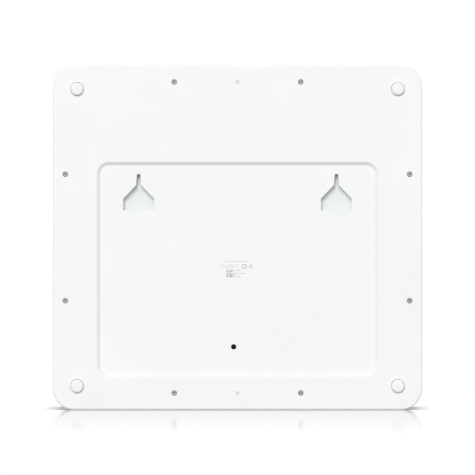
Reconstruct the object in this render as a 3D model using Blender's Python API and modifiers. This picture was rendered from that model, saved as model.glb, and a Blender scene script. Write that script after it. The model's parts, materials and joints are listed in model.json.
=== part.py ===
"""Wall-hung or desk-standing wireless access point, as an assembly of separate pieces.

The case stands upright on its lower edge. +X is the case's width, +Z is up, the plain front that
faces the room is on -Y and the rear, with its feet, recessed panel and two keyholes, is on +Y.
The origin is the bottom centre of the whole object's box. Lengths are metres.
"""

import math

import bmesh
import bpy
from mathutils import Matrix, Vector

MM = 0.001
GAP = 0.3 * MM

# Driving dimensions of the case.
CASE_WIDTH = 240 * MM
CASE_HEIGHT = 224 * MM
CASE_DEPTH = 40 * MM
FOOT_PROUD = 2.4 * MM
CORNER_RADIUS = 13.7 * MM
REAR_EDGE_RADIUS = 1.5 * MM
FRONT_EDGE_RADIUS = 3 * MM
WALL = 2.4 * MM
REAR_FACE_THICKNESS = 2.2 * MM
SKIRT_DEPTH = 7.5 * MM
LAP_HEIGHT = 2.2 * MM
LAP_THICKNESS = 1 * MM

# The depth is shared out so that the origin is midway between the front face and the feet's ends.
Y_FRONT = -(CASE_DEPTH + FOOT_PROUD) / 2
Y_REAR = Y_FRONT + CASE_DEPTH
Y_SEAM = Y_REAR - SKIRT_DEPTH
Y_FRONT_INNER = Y_FRONT + WALL
Z_MIDDLE = CASE_HEIGHT / 2

# Recessed panel in the rear face: the border is drawn at the foot of its slope.
PANEL_HALF_WIDTH = 89.3 * MM
PANEL_TOP = 47.0 * MM
PANEL_BOTTOM = -88.7 * MM
PANEL_CORNER_RADIUS = 5.8 * MM
PANEL_DEPTH = 2.0 * MM
PANEL_SKIN = 2.0 * MM
Y_PANEL = Y_REAR - PANEL_DEPTH
Y_PANEL_INNER = Y_PANEL - PANEL_SKIN

# Keyholes: a pentagon for the screw head to enter and a tapered slot above it.
KEYHOLE_X = 64.3 * MM
KEYHOLE_HALF_WIDTH = 10.05 * MM
KEYHOLE_BOTTOM = 17.6 * MM
KEYHOLE_SHOULDER = 25.2 * MM
KEYHOLE_SLOT_BOTTOM = 34.0 * MM
KEYHOLE_SLOT_TOP = 41.2 * MM
SLOT_HALF_WIDTH_BOTTOM = 1.6 * MM
SLOT_HALF_WIDTH_TOP = 1.05 * MM
CUP_DEPTH = 2.6 * MM
CUP_WALL = 1.3 * MM
CUP_MARGIN = 2.4 * MM
CUP_CORNER_RADIUS = 2.4 * MM
CUP_EDGE_RADIUS = 0.6 * MM

# Fasteners and feet on the rear face, as offsets from its middle.
SIDE_SCREWS = (111.85 * MM, 41.07 * MM)
EDGE_SCREWS = (41.1 * MM, 101.05 * MM)
FOOT_X = 104.25 * MM
FOOT_Z = 96.5 * MM
FOOT_RADIUS = 4.25 * MM
FOOT_RIM_RADIUS = 1.5 * MM
FOOT_SOCKET_DEPTH = 1 * MM
PIN_Z = 101.1 * MM
PIN_RADIUS = 0.8 * MM
PIN_HOLE_RADIUS = 1.1 * MM
POST_RADIUS = 2.6 * MM
HEAD_RADIUS = 1.6 * MM
HEAD_HEIGHT = 1.4 * MM
HEAD_SUNK = 0.2 * MM
HEAD_BORE_RADIUS = 1.9 * MM
SHANK_RADIUS = 1 * MM
SHANK_HOLE_RADIUS = 1.3 * MM
DRIVE_RADIUS = 0.9 * MM
DRIVE_DEPTH = 0.8 * MM
COVER_SCREW_LENGTH = 10 * MM
SCREW_PAD_RADIUS = 4 * MM
SCREW_PAD_DEPTH = 2.4 * MM
BOSS_RADIUS = 3.5 * MM
RIB_THICKNESS = 1.6 * MM

# Reset button, a plunger that reaches from a switch on the board to a hole in the panel.
RESET_X = 2.5 * MM
RESET_Z = -71.1 * MM
RESET_HOLE_RADIUS = 1.65 * MM
PLUNGER_RADIUS = 1.35 * MM
PLUNGER_SUNK = 1 * MM
RESET_TRAVEL = 0.5 * MM
SWITCH_SIDE = 6 * MM
SWITCH_HEIGHT = 3.4 * MM
SWITCH_FLOOR = 0.6 * MM
SWITCH_CORNER_RADIUS = 0.6 * MM
DOME_THICKNESS = 0.2 * MM
DOME_RADIUS = 1.3 * MM
FLANGE_RADIUS = 2.6 * MM
FLANGE_THICKNESS = 0.7 * MM

# Circuit board, parallel to the rear face. Its lower edge carries the jacks.
BOARD_HALF_WIDTH = 97 * MM
BOARD_BOTTOM = 6 * MM
BOARD_TOP = 204 * MM
BOARD_THICKNESS = 1.6 * MM
BOARD_CORNER_RADIUS = 2 * MM
Y_BOARD_FRONT = 4 * MM
Y_BOARD_REAR = Y_BOARD_FRONT + BOARD_THICKNESS
BOARD_SCREWS_X = 88 * MM
BOARD_SCREWS_Z = (24 * MM, 196 * MM)
NOTCH_TOP = 15.2 * MM

# Jacks in the lower edge.
JACK_FACE_Z = 0.8 * MM
NETWORK_JACK_X = (21 * MM, -21 * MM)
NETWORK_JACK_SIZE = Vector((16, 13.5, 21)) * MM
PLUG_WIDTH = 11.9 * MM
PLUG_HEIGHT = 7 * MM
LATCH_WIDTH = 6.2 * MM
LATCH_HEIGHT = 1.8 * MM
PLUG_DEPTH = 13.5 * MM
POWER_JACK_X = 62 * MM
POWER_JACK_SIZE = Vector((9, 11, 14)) * MM
POWER_BORE_RADIUS = 3.2 * MM
POWER_PIN_RADIUS = 1 * MM
POWER_BORE_DEPTH = 9.5 * MM

# Status light: an emitter on the board and a clear pipe that reaches the front face.
LIGHT_Z = 30 * MM
LIGHT_RADIUS = 1.3 * MM
LIGHT_FLANGE_RADIUS = 2.6 * MM
LIGHT_FLANGE_THICKNESS = 1 * MM
EMITTER_SIZE = Vector((3.2, 0.8, 2.8)) * MM

# Shields, thermal pads and the aluminium heat spreader in front of the board.
SHIELDS = {
    "shield_can_processor": ((0, 96 * MM), (46 * MM, 40 * MM)),
    "shield_can_radio": ((0, 152 * MM), (60 * MM, 44 * MM)),
}
SHIELD_HEIGHT = 2.6 * MM
SHIELD_METAL = 0.3 * MM
PAD_THICKNESS = 1.5 * MM
PAD_INSET = 8 * MM
SPREADER_HALF_WIDTH = 78 * MM
SPREADER_BOTTOM = 66 * MM
SPREADER_TOP = 190 * MM
SPREADER_THICKNESS = 2 * MM
SPREADER_FLANGE = 5 * MM
SPREADER_CORNER_RADIUS = 4 * MM
PEDESTAL_X = 68 * MM
PEDESTAL_Z = (76 * MM, 180 * MM)
PEDESTAL_RADIUS = 4 * MM
SPREADER_SCREW_LENGTH = 6 * MM
BOARD_SCREW_LENGTH = 8 * MM

# Antennas: stamped plates on bent legs over the spreader, each with a coaxial lead to the board.
ANTENNA_X = (54 * MM, 20 * MM, -20 * MM, -54 * MM)
ANTENNA_Z = (104 * MM, 158 * MM, 104 * MM, 158 * MM)
ANTENNA_SIDE = 26 * MM
ANTENNA_METAL = 0.8 * MM
ANTENNA_RISE = 7 * MM
ANTENNA_LEG_WIDTH = 10 * MM
ANTENNA_FOOT = 7 * MM
ANTENNA_CORNER_RADIUS = 2 * MM
LEAD_RADIUS = 0.6 * MM
LEAD_END_Z = 197.5 * MM
SOCKET_RADIUS = 1.5 * MM
SOCKET_HEIGHT = 1.4 * MM

# How finely round shapes are divided.
CASE_CORNER_STEPS = 6
SMALL_CORNER_STEPS = 2
EDGE_STEPS = 2
CASE_EDGE_STEPS = 3
ROUND_STEPS = 16
FOOT_STEPS = 24
SCREW_STEPS = 12
LEAD_STEPS = 6

MODEL = "access_point"
CUTTERS = "cutters"

FINISHES = {
    "white_plastic": ((0.86, 0.87, 0.87), 0.45, 0.0),
    "white_rubber": ((0.84, 0.84, 0.83), 0.7, 0.0),
    "screw_steel": ((0.42, 0.43, 0.45), 0.35, 1.0),
    "black_plastic": ((0.02, 0.02, 0.022), 0.5, 0.0),
    "board_laminate": ((0.03, 0.09, 0.05), 0.55, 0.0),
    "shield_steel": ((0.62, 0.62, 0.6), 0.3, 1.0),
    "cast_aluminium": ((0.6, 0.61, 0.62), 0.5, 1.0),
    "antenna_brass": ((0.72, 0.56, 0.28), 0.35, 1.0),
    "pad_silicone": ((0.3, 0.42, 0.55), 0.8, 0.0),
    "clear_plastic": ((0.8, 0.83, 0.85), 0.15, 0.0),
    "lead_jacket": ((0.03, 0.03, 0.03), 0.6, 0.0),
}


# ---------------------------------------------------------------- scene and materials


def clear_scene():
    for old in list(bpy.data.objects):
        bpy.data.objects.remove(old)


def new_collection(name):
    found = bpy.data.collections.new(name)
    bpy.context.scene.collection.children.link(found)
    return found


def finish(name):
    """The Principled material with that name, made the first time it is asked for."""
    if name in bpy.data.materials:
        return bpy.data.materials[name]
    colour, roughness, metallic = FINISHES[name]
    made = bpy.data.materials.new(name)
    made.use_nodes = True
    shader = made.node_tree.nodes["Principled BSDF"]
    shader.inputs["Base Color"].default_value = (*colour, 1)
    shader.inputs["Roughness"].default_value = roughness
    shader.inputs["Metallic"].default_value = metallic
    made.diffuse_color = (*colour, 1)
    return made


# ---------------------------------------------------------------- shapes


def add_part(name, mesh, material):
    """A visible sub-part, shaded smooth on its round stretches."""
    part = bpy.data.objects.new(name, mesh)
    bpy.data.collections[MODEL].objects.link(part)
    mesh.shade_smooth()
    mesh.set_sharp_from_angle(angle=math.radians(35))
    if not mesh.materials:
        mesh.materials.append(finish(material))
    return part


def apply_boolean(part, mesh, operation):
    """Cuts or joins a mesh, which becomes a helper object and never a part."""
    helper = bpy.data.objects.new(mesh.name, mesh)
    bpy.data.collections[CUTTERS].objects.link(helper)
    helper.hide_render = True
    helper.display_type = "WIRE"
    modifier = part.modifiers.new(mesh.name, "BOOLEAN")
    modifier.object = helper
    modifier.operation = operation
    modifier.solver = "EXACT"


def cut(part, *meshes):
    for mesh in meshes:
        apply_boolean(part, mesh, "DIFFERENCE")


def join(part, *meshes):
    for mesh in meshes:
        apply_boolean(part, mesh, "UNION")


def mesh_from(name, build):
    """A mesh filled by build(bm)."""
    bm = bmesh.new()
    build(bm)
    mesh = bpy.data.meshes.new(name)
    bm.to_mesh(mesh)
    bm.free()
    return mesh


def edges_along_y(bm):
    return [e for e in bm.edges if abs((e.verts[0].co - e.verts[1].co).normalized().y) > 0.99]


def edges_at_y(bm, y):
    return [e for e in bm.edges if all(abs(v.co.y - y) < GAP / 100 for v in e.verts)]


def round_edges(bm, edges, radius, steps):
    bmesh.ops.bevel(
        bm, geom=edges, offset=radius, segments=steps, profile=0.5, affect="EDGES", clamp_overlap=True
    )


def slab(
    name,
    low,
    high,
    corner=0.0,
    front_edge=0.0,
    rear_edge=0.0,
    corner_steps=SMALL_CORNER_STEPS,
    edge_steps=EDGE_STEPS,
):
    """A box from low to high: corner rounds its edges along Y, the others its -Y and +Y rims."""

    def build(bm):
        size = high - low
        middle = (high + low) / 2
        place = Matrix.Translation(middle) @ Matrix.Diagonal((*size, 1))
        bmesh.ops.create_cube(bm, size=1, matrix=place)
        if corner:
            round_edges(bm, edges_along_y(bm), corner, corner_steps)
        if front_edge:
            round_edges(bm, edges_at_y(bm, low.y), front_edge, edge_steps)
        if rear_edge:
            round_edges(bm, edges_at_y(bm, high.y), rear_edge, edge_steps)

    return mesh_from(name, build)


def case_slab(name, inset, y_low, y_high, **edges):
    """A slab with the case's outline, brought in all round by inset."""
    half = CASE_WIDTH / 2 - inset
    low = Vector((-half, y_low, inset))
    high = Vector((half, y_high, CASE_HEIGHT - inset))
    corner = CORNER_RADIUS - inset
    return slab(name, low, high, corner, corner_steps=CASE_CORNER_STEPS, edge_steps=CASE_EDGE_STEPS, **edges)


def rods(name, centres, radius, y_low, y_high, steps=ROUND_STEPS):
    """Cylinders along Y, one at each (x, z) of centres, in one mesh."""

    def build(bm):
        turn = Matrix.Rotation(math.radians(-90), 4, "X")
        for x, z in centres:
            place = Matrix.Translation((x, (y_low + y_high) / 2, z)) @ turn
            bmesh.ops.create_cone(
                bm,
                cap_ends=True,
                segments=steps,
                radius1=radius,
                radius2=radius,
                depth=y_high - y_low,
                matrix=place,
            )

    return mesh_from(name, build)


def boxes(name, pairs):
    """Boxes from (low, high) pairs of corners, in one mesh."""

    def build(bm):
        for low, high in pairs:
            place = Matrix.Translation((low + high) / 2) @ Matrix.Diagonal((*(high - low), 1))
            bmesh.ops.create_cube(bm, size=1, matrix=place)

    return mesh_from(name, build)


def evaluated_mesh(guide, name):
    """The mesh of a helper as its modifiers leave it. The helper is removed."""
    graph = bpy.context.evaluated_depsgraph_get()
    mesh = bpy.data.meshes.new_from_object(guide.evaluated_get(graph), depsgraph=graph)
    mesh.name = name
    mesh.transform(guide.matrix_world)
    bm = bmesh.new()
    bm.from_mesh(mesh)
    bmesh.ops.remove_doubles(bm, verts=bm.verts, dist=1e-6)
    bm.to_mesh(mesh)
    bm.free()
    bpy.data.objects.remove(guide)
    return mesh


def plate(name, outline, y_low, y_high):
    """A flat (x, z) outline, filled and extruded along Y."""
    curve = bpy.data.curves.new(name, "CURVE")
    curve.dimensions = "2D"
    curve.fill_mode = "BOTH"
    curve.extrude = (y_high - y_low) / 2
    spline = curve.splines.new("POLY")
    spline.points.add(len(outline) - 1)
    for point, (x, z) in zip(spline.points, outline):
        point.co = (x, z, 0, 1)
    spline.use_cyclic_u = True
    guide = bpy.data.objects.new(name, curve)
    bpy.data.collections[CUTTERS].objects.link(guide)
    guide.rotation_euler.x = math.radians(90)
    guide.location.y = (y_low + y_high) / 2
    bpy.context.view_layer.update()
    return evaluated_mesh(guide, name)


def turned(name, profile, steps=ROUND_STEPS):
    """A mesh turned about Y from a profile of (radius, y) points, from its rear end to its front end."""
    mesh = bpy.data.meshes.new(name)
    points = [(radius, 0, y) for radius, y in profile]
    mesh.from_pydata(points, [(i, i + 1) for i in range(len(points) - 1)], [])
    guide = bpy.data.objects.new(name, mesh)
    bpy.data.collections[CUTTERS].objects.link(guide)
    screw = guide.modifiers.new("turn", "SCREW")
    screw.steps = steps
    screw.render_steps = steps
    screw.use_merge_vertices = True
    screw.merge_threshold = 1e-5
    guide.rotation_euler.x = math.radians(-90)
    bpy.context.view_layer.update()
    return evaluated_mesh(guide, name)


def arc(centre, radius, start, end, steps):
    """Points of a circular arc between two angles in degrees."""
    turns = [math.radians(start + (end - start) * i / steps) for i in range(steps + 1)]
    return [(centre[0] + radius * math.cos(t), centre[1] + radius * math.sin(t)) for t in turns]


def filleted(outline, steps=4):
    """An outline of (x, z, radius) corners with each corner turned into an arc of its radius."""
    rounded = []
    for i, (x, z, radius) in enumerate(outline):
        corner = Vector((x, z))
        before = (Vector(outline[i - 1][:2]) - corner).normalized()
        after = (Vector(outline[(i + 1) % len(outline)][:2]) - corner).normalized()
        if radius == 0:
            rounded.append((x, z))
            continue
        half = before.angle(after) / 2
        reach = radius / math.tan(half)
        centre = corner + (before + after).normalized() * (radius / math.sin(half))
        start = corner + before * reach - centre
        end = corner + after * reach - centre
        for step in range(steps + 1):
            spoke = start.lerp(end, step / steps).normalized() * radius
            rounded.append(tuple(centre + spoke))
    return rounded


def mirrored_pairs(x, z):
    """The four (x, z) places round the middle of the rear face."""
    return [(sx * x, Z_MIDDLE + sz * z) for sz in (1, -1) for sx in (1, -1)]


COVER_SCREW_PLACES = mirrored_pairs(*EDGE_SCREWS) + mirrored_pairs(*SIDE_SCREWS)
FOOT_PLACES = mirrored_pairs(FOOT_X, FOOT_Z)
PIN_PLACES = [(0, Z_MIDDLE + PIN_Z), (0, Z_MIDDLE - PIN_Z)]
RESET_PLACE = (RESET_X, Z_MIDDLE + RESET_Z)
KEYHOLE_SIDES = {"left": KEYHOLE_X, "right": -KEYHOLE_X}
BOARD_SCREW_PLACES = [(s * BOARD_SCREWS_X, z) for z in BOARD_SCREWS_Z for s in (1, -1)]
PEDESTAL_PLACES = [(s * PEDESTAL_X, z) for z in PEDESTAL_Z for s in (1, -1)]

# Heights along Y that several pieces share.
Y_SCREW_PAD = Y_REAR - REAR_FACE_THICKNESS - SCREW_PAD_DEPTH
Y_HEAD_FLOOR = Y_REAR - HEAD_SUNK - HEAD_HEIGHT
Y_FOOT_SOCKET = Y_REAR - FOOT_SOCKET_DEPTH
Y_BOSS_TOP = Y_SCREW_PAD - GAP
Y_BOARD_BOSS_TOP = Y_BOARD_FRONT - GAP
Y_SHIELD_FRONT = Y_BOARD_FRONT - GAP - SHIELD_HEIGHT
Y_SPREADER_REAR = Y_SHIELD_FRONT - PAD_THICKNESS - 2 * GAP
Y_SPREADER_FRONT = Y_SPREADER_REAR - SPREADER_THICKNESS


# ---------------------------------------------------------------- case


def keyhole_outline(x):
    """The outline of one keyhole, with its roof corners and shoulders rounded."""
    right = [
        (KEYHOLE_HALF_WIDTH, KEYHOLE_BOTTOM, 0.0),
        (KEYHOLE_HALF_WIDTH, KEYHOLE_SHOULDER, 1.6 * MM),
        (SLOT_HALF_WIDTH_BOTTOM, KEYHOLE_SLOT_BOTTOM, 1.6 * MM),
        (SLOT_HALF_WIDTH_TOP, KEYHOLE_SLOT_TOP, 0.2 * MM),
    ]
    left = [(-half, z, radius) for half, z, radius in reversed(right)]
    return [(x + dx, Z_MIDDLE + z) for dx, z in filleted(right + left)]


def rib_boxes():
    """A rib from each cover boss to the wall it stands nearest."""
    half = RIB_THICKNESS / 2
    low_y = Y_FRONT_INNER - WALL / 2
    high_y = Y_SEAM - WALL
    pairs = []
    for x, z in COVER_SCREW_PLACES:
        if abs(x) > EDGE_SCREWS[0]:
            wall = math.copysign(CASE_WIDTH / 2 - WALL / 2, x)
            pairs.append((Vector((min(x, wall), low_y, z - half)), Vector((max(x, wall), high_y, z + half))))
        else:
            wall = CASE_HEIGHT - WALL / 2 if z > Z_MIDDLE else WALL / 2
            pairs.append((Vector((x - half, low_y, min(z, wall))), Vector((x + half, high_y, max(z, wall)))))
    return pairs


def jack_window(x, size):
    """The corners of the opening that the lower wall has for a jack."""
    low = Vector((x - size.x / 2 - GAP, Y_BOARD_FRONT - size.y - 2 * GAP, -WALL))
    high = Vector((x + size.x / 2 + GAP, Y_BOARD_FRONT, 2 * WALL))
    return low, high


def build_front_housing():
    """The deep tray that forms the plain front and the sides, with the bosses that carry the rest."""
    outer = case_slab("front_housing", 0, Y_FRONT, Y_SEAM - GAP, front_edge=FRONT_EDGE_RADIUS)
    housing = add_part("front_housing", outer, "white_plastic")
    y_root = Y_FRONT_INNER - WALL / 2
    windows = [jack_window(x, NETWORK_JACK_SIZE) for x in NETWORK_JACK_X]
    windows.append(jack_window(POWER_JACK_X, POWER_JACK_SIZE))
    cover_pilot = (Y_HEAD_FLOOR - COVER_SCREW_LENGTH - 2 * GAP, Y_BOSS_TOP + WALL)
    board_pilot = (Y_BOARD_REAR - BOARD_SCREW_LENGTH - 2 * GAP, Y_BOARD_FRONT + WALL)
    light_ends = (Y_FRONT - WALL, Y_FRONT + 2 * WALL)
    join(housing, case_slab("housing_lap", LAP_THICKNESS + GAP, Y_FRONT_INNER, Y_SEAM + LAP_HEIGHT - GAP))
    cut(housing, case_slab("housing_cavity", WALL, Y_FRONT_INNER, Y_SEAM + 2 * LAP_HEIGHT))
    join(
        housing,
        rods("cover_bosses", COVER_SCREW_PLACES, BOSS_RADIUS, y_root, Y_BOSS_TOP),
        boxes("cover_boss_ribs", rib_boxes()),
        rods("board_bosses", BOARD_SCREW_PLACES, BOSS_RADIUS, y_root, Y_BOARD_BOSS_TOP),
        rods("pin_posts", PIN_PLACES, POST_RADIUS, y_root, Y_BOSS_TOP),
        rods("pins", PIN_PLACES, PIN_RADIUS, Y_BOSS_TOP - WALL, Y_REAR - GAP / 3),
    )
    cut(
        housing,
        rods("cover_pilot_holes", COVER_SCREW_PLACES, SHANK_HOLE_RADIUS, *cover_pilot),
        rods("board_pilot_holes", BOARD_SCREW_PLACES, SHANK_HOLE_RADIUS, *board_pilot),
        rods("light_hole", [(0, LIGHT_Z)], LIGHT_RADIUS + GAP, *light_ends),
        boxes("jack_windows", windows),
    )


def panel_slab(name, margin, y_low, y_high, **edges):
    """A slab with the outline of the panel's flat floor, let out all round by margin."""
    low = Vector((-PANEL_HALF_WIDTH - margin, y_low, Z_MIDDLE + PANEL_BOTTOM - margin))
    high = Vector((PANEL_HALF_WIDTH + margin, y_high, Z_MIDDLE + PANEL_TOP + margin))
    corner = PANEL_CORNER_RADIUS + margin
    return slab(name, low, high, corner, corner_steps=CASE_CORNER_STEPS, edge_steps=1, **edges)


def build_rear_cover():
    """The shallow lid with the sloped-edged panel, the keyholes and every hole in the rear face."""
    outer = case_slab("rear_cover", 0, Y_SEAM, Y_REAR, rear_edge=REAR_EDGE_RADIUS)
    cover = add_part("rear_cover", outer, "white_plastic")
    y_inner = Y_REAR - REAR_FACE_THICKNESS
    y_open = Y_SEAM - WALL
    through = (Y_SCREW_PAD - MM, Y_REAR + MM)
    backing_margin = PANEL_DEPTH + REAR_FACE_THICKNESS
    slope = PANEL_DEPTH + MM / 2
    cut(
        cover,
        case_slab("cover_cavity", WALL, y_open, y_inner),
        case_slab("cover_lap", LAP_THICKNESS, y_open, Y_SEAM + LAP_HEIGHT),
    )
    join(
        cover,
        panel_slab("panel_backing", backing_margin, Y_PANEL_INNER, y_inner + REAR_FACE_THICKNESS / 2),
        rods("screw_pads", COVER_SCREW_PLACES, SCREW_PAD_RADIUS, Y_SCREW_PAD, y_inner + MM),
    )
    cut(
        cover,
        panel_slab("panel_recess", slope, Y_PANEL, Y_REAR + MM / 2, front_edge=slope),
        *(plate("keyhole_" + side, keyhole_outline(x), *through) for side, x in KEYHOLE_SIDES.items()),
        rods("head_bores", COVER_SCREW_PLACES, HEAD_BORE_RADIUS, Y_HEAD_FLOOR - GAP, through[1]),
        rods("shank_holes", COVER_SCREW_PLACES, SHANK_HOLE_RADIUS, *through),
        rods("foot_sockets", FOOT_PLACES, FOOT_RADIUS + GAP, Y_FOOT_SOCKET, through[1], FOOT_STEPS),
        rods("pin_holes", PIN_PLACES, PIN_HOLE_RADIUS, *through),
        rods("reset_hole", [RESET_PLACE], RESET_HOLE_RADIUS, *through),
    )


def build_keyhole_cup(side, x):
    """A shallow tray welded behind a keyhole, which closes the case and takes the screw's head."""
    half = KEYHOLE_HALF_WIDTH + CUP_MARGIN
    y_floor = Y_PANEL_INNER - CUP_DEPTH
    y_rim = Y_PANEL_INNER - GAP
    low = Vector((x - half, y_floor - CUP_WALL, Z_MIDDLE + KEYHOLE_BOTTOM - CUP_MARGIN))
    high = Vector((x + half, y_rim, Z_MIDDLE + KEYHOLE_SLOT_TOP + CUP_MARGIN + CUP_WALL))
    wall = Vector((CUP_WALL, 0, CUP_WALL))
    inner_low = Vector((low.x, y_floor, low.z)) + wall
    inner_high = Vector((high.x, y_rim + MM, high.z)) - wall
    name = "keyhole_cup_" + side
    cup = add_part(name, slab(name, low, high, CUP_CORNER_RADIUS, CUP_EDGE_RADIUS), "white_plastic")
    cut(cup, slab(name + "_cavity", inner_low, inner_high, corner=CUP_CORNER_RADIUS - CUP_WALL / 2))


# ---------------------------------------------------------------- screws and feet


def screw_mesh(name, length):
    """A pan-head screw along +Y whose head's underside is at y = 0, with a six-sided drive."""
    crown = 0.35 * MM
    tip = 0.5 * MM
    profile = [
        (0, HEAD_HEIGHT),
        (HEAD_RADIUS - crown, HEAD_HEIGHT),
        (HEAD_RADIUS, HEAD_HEIGHT - crown),
        (HEAD_RADIUS, 0),
        (SHANK_RADIUS, 0),
        (SHANK_RADIUS, tip - length),
        (SHANK_RADIUS / 2, -length),
        (0, -length),
    ]
    guide = bpy.data.objects.new(name, turned(name, profile, SCREW_STEPS))
    bpy.data.collections[CUTTERS].objects.link(guide)
    drive = (HEAD_HEIGHT - DRIVE_DEPTH, HEAD_HEIGHT + MM)
    cut(guide, rods(name + "_drive", [(0, 0)], DRIVE_RADIUS, *drive, 6))
    bpy.context.view_layer.update()
    return evaluated_mesh(guide, name)


def place_screws(name, length, places, y):
    """Screws of one length, each with its head's underside at y."""
    mesh = screw_mesh(name, length)
    for number, (x, z) in enumerate(places, 1):
        screw = add_part(f"{name}_{number}", mesh, "screw_steel")
        screw.location = (x, y, z)


def build_screws():
    y_board = Y_BOARD_REAR + GAP
    place_screws("cover_screw", COVER_SCREW_LENGTH, COVER_SCREW_PLACES, Y_HEAD_FLOOR)
    place_screws("board_screw", BOARD_SCREW_LENGTH, BOARD_SCREW_PLACES, y_board)
    place_screws("spreader_screw", SPREADER_SCREW_LENGTH, PEDESTAL_PLACES, y_board)


def build_feet():
    """Four pads with rounded rims, each seated in a shallow socket."""
    length = FOOT_PROUD + FOOT_SOCKET_DEPTH - GAP
    rim = FOOT_RIM_RADIUS
    edge = arc((FOOT_RADIUS - rim, length - rim), rim, 90, 0, 3)
    mesh = turned("foot", [(0, length), *edge, (FOOT_RADIUS, 0), (0, 0)], FOOT_STEPS)
    names = ("top_left", "top_right", "bottom_left", "bottom_right")
    for name, (x, z) in zip(names, FOOT_PLACES):
        foot = add_part("foot_" + name, mesh, "white_rubber")
        foot.location = (x, Y_FOOT_SOCKET + GAP, z)


# ---------------------------------------------------------------- board and what it carries


def build_main_board():
    low = Vector((-BOARD_HALF_WIDTH, Y_BOARD_FRONT, BOARD_BOTTOM))
    high = Vector((BOARD_HALF_WIDTH, Y_BOARD_REAR, BOARD_TOP))
    board = add_part(
        "main_board", slab("main_board", low, high, corner=BOARD_CORNER_RADIUS), "board_laminate"
    )
    y_ends = (Y_BOARD_FRONT - MM, Y_BOARD_REAR + MM)
    notches = []
    for x, radius in ((EDGE_SCREWS[0], BOSS_RADIUS), (0, POST_RADIUS), (-EDGE_SCREWS[0], BOSS_RADIUS)):
        half = radius + 2 * GAP
        notches.append((Vector((x - half, y_ends[0], 0)), Vector((x + half, y_ends[1], NOTCH_TOP))))
    cut(
        board,
        rods("board_holes", BOARD_SCREW_PLACES + PEDESTAL_PLACES, SHANK_HOLE_RADIUS, *y_ends),
        boxes("board_notches", notches),
    )


def build_shields_and_pads():
    """Two five-sided steel cans on the board's front, each with a soft pad towards the spreader."""
    for name, ((x, z), (width, height)) in SHIELDS.items():
        low = Vector((x - width / 2, Y_SHIELD_FRONT, z - height / 2))
        high = Vector((x + width / 2, Y_SHIELD_FRONT + SHIELD_HEIGHT, z + height / 2))
        metal = Vector((SHIELD_METAL, SHIELD_METAL, SHIELD_METAL))
        inside = (low + metal, high - metal + Vector((0, MM, 0)))
        can = add_part(name, slab(name, low, high, corner=MM), "shield_steel")
        cut(can, boxes(name + "_inside", [inside]))
        inset = Vector((PAD_INSET, 0, PAD_INSET))
        pad_low = low + inset
        pad_low.y = Y_SPREADER_REAR + GAP
        pad_high = high - inset
        pad_high.y = Y_SHIELD_FRONT - GAP
        pad_name = name.replace("shield_can", "thermal_pad")
        add_part(pad_name, slab(pad_name, pad_low, pad_high, corner=MM), "pad_silicone")


def build_heat_spreader():
    """An aluminium plate with a turned-up lower edge, on four pedestals."""
    low = Vector((-SPREADER_HALF_WIDTH, Y_SPREADER_FRONT, SPREADER_BOTTOM))
    high = Vector((SPREADER_HALF_WIDTH, Y_SPREADER_REAR, SPREADER_TOP))
    spreader = add_part(
        "heat_spreader", slab("heat_spreader", low, high, corner=SPREADER_CORNER_RADIUS), "cast_aluminium"
    )
    reach = SPREADER_HALF_WIDTH - 2 * SPREADER_CORNER_RADIUS
    y_edge = Y_SPREADER_FRONT - SPREADER_FLANGE
    y_top = Y_SPREADER_FRONT + SPREADER_THICKNESS / 2
    flange = (
        Vector((-reach, y_edge, SPREADER_BOTTOM + MM / 2)),
        Vector((reach, y_top, SPREADER_BOTTOM + SPREADER_THICKNESS)),
    )
    pilot = (Y_BOARD_REAR - SPREADER_SCREW_LENGTH - 2 * GAP, Y_BOARD_FRONT + MM)
    join(
        spreader,
        boxes("spreader_flange", [flange]),
        rods("pedestals", PEDESTAL_PLACES, PEDESTAL_RADIUS, Y_SPREADER_REAR - MM, Y_BOARD_BOSS_TOP),
    )
    cut(spreader, rods("pedestal_holes", PEDESTAL_PLACES, SHANK_HOLE_RADIUS, *pilot))


def build_network_jack(name, x):
    """A board-mounted socket for an eight-way modular plug, open downwards."""
    size = NETWORK_JACK_SIZE
    y_high = Y_BOARD_FRONT - GAP
    low = Vector((x - size.x / 2, y_high - size.y, JACK_FACE_Z))
    high = Vector((x + size.x / 2, y_high, JACK_FACE_Z + size.z))
    y_plug = low.y + (size.y - PLUG_HEIGHT - LATCH_HEIGHT) / 2 + LATCH_HEIGHT
    y_latch = y_plug - LATCH_HEIGHT
    z_low = JACK_FACE_Z - MM
    z_high = JACK_FACE_Z + PLUG_DEPTH
    plug = (
        Vector((x - PLUG_WIDTH / 2, y_plug, z_low)),
        Vector((x + PLUG_WIDTH / 2, y_plug + PLUG_HEIGHT, z_high)),
    )
    latch = (
        Vector((x - LATCH_WIDTH / 2, y_latch, z_low)),
        Vector((x + LATCH_WIDTH / 2, y_plug + MM, z_high)),
    )
    jack = add_part(name, boxes(name, [(low, high)]), "shield_steel")
    cut(jack, boxes(name + "_plug_space", [plug]), boxes(name + "_latch_space", [latch]))


def upright_rod(name, x, y, radius, z_low, z_high):
    """A cylinder along Z."""

    def build(bm):
        bmesh.ops.create_cone(
            bm,
            cap_ends=True,
            segments=ROUND_STEPS,
            radius1=radius,
            radius2=radius,
            depth=z_high - z_low,
            matrix=Matrix.Translation((x, y, (z_low + z_high) / 2)),
        )

    return mesh_from(name, build)


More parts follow.
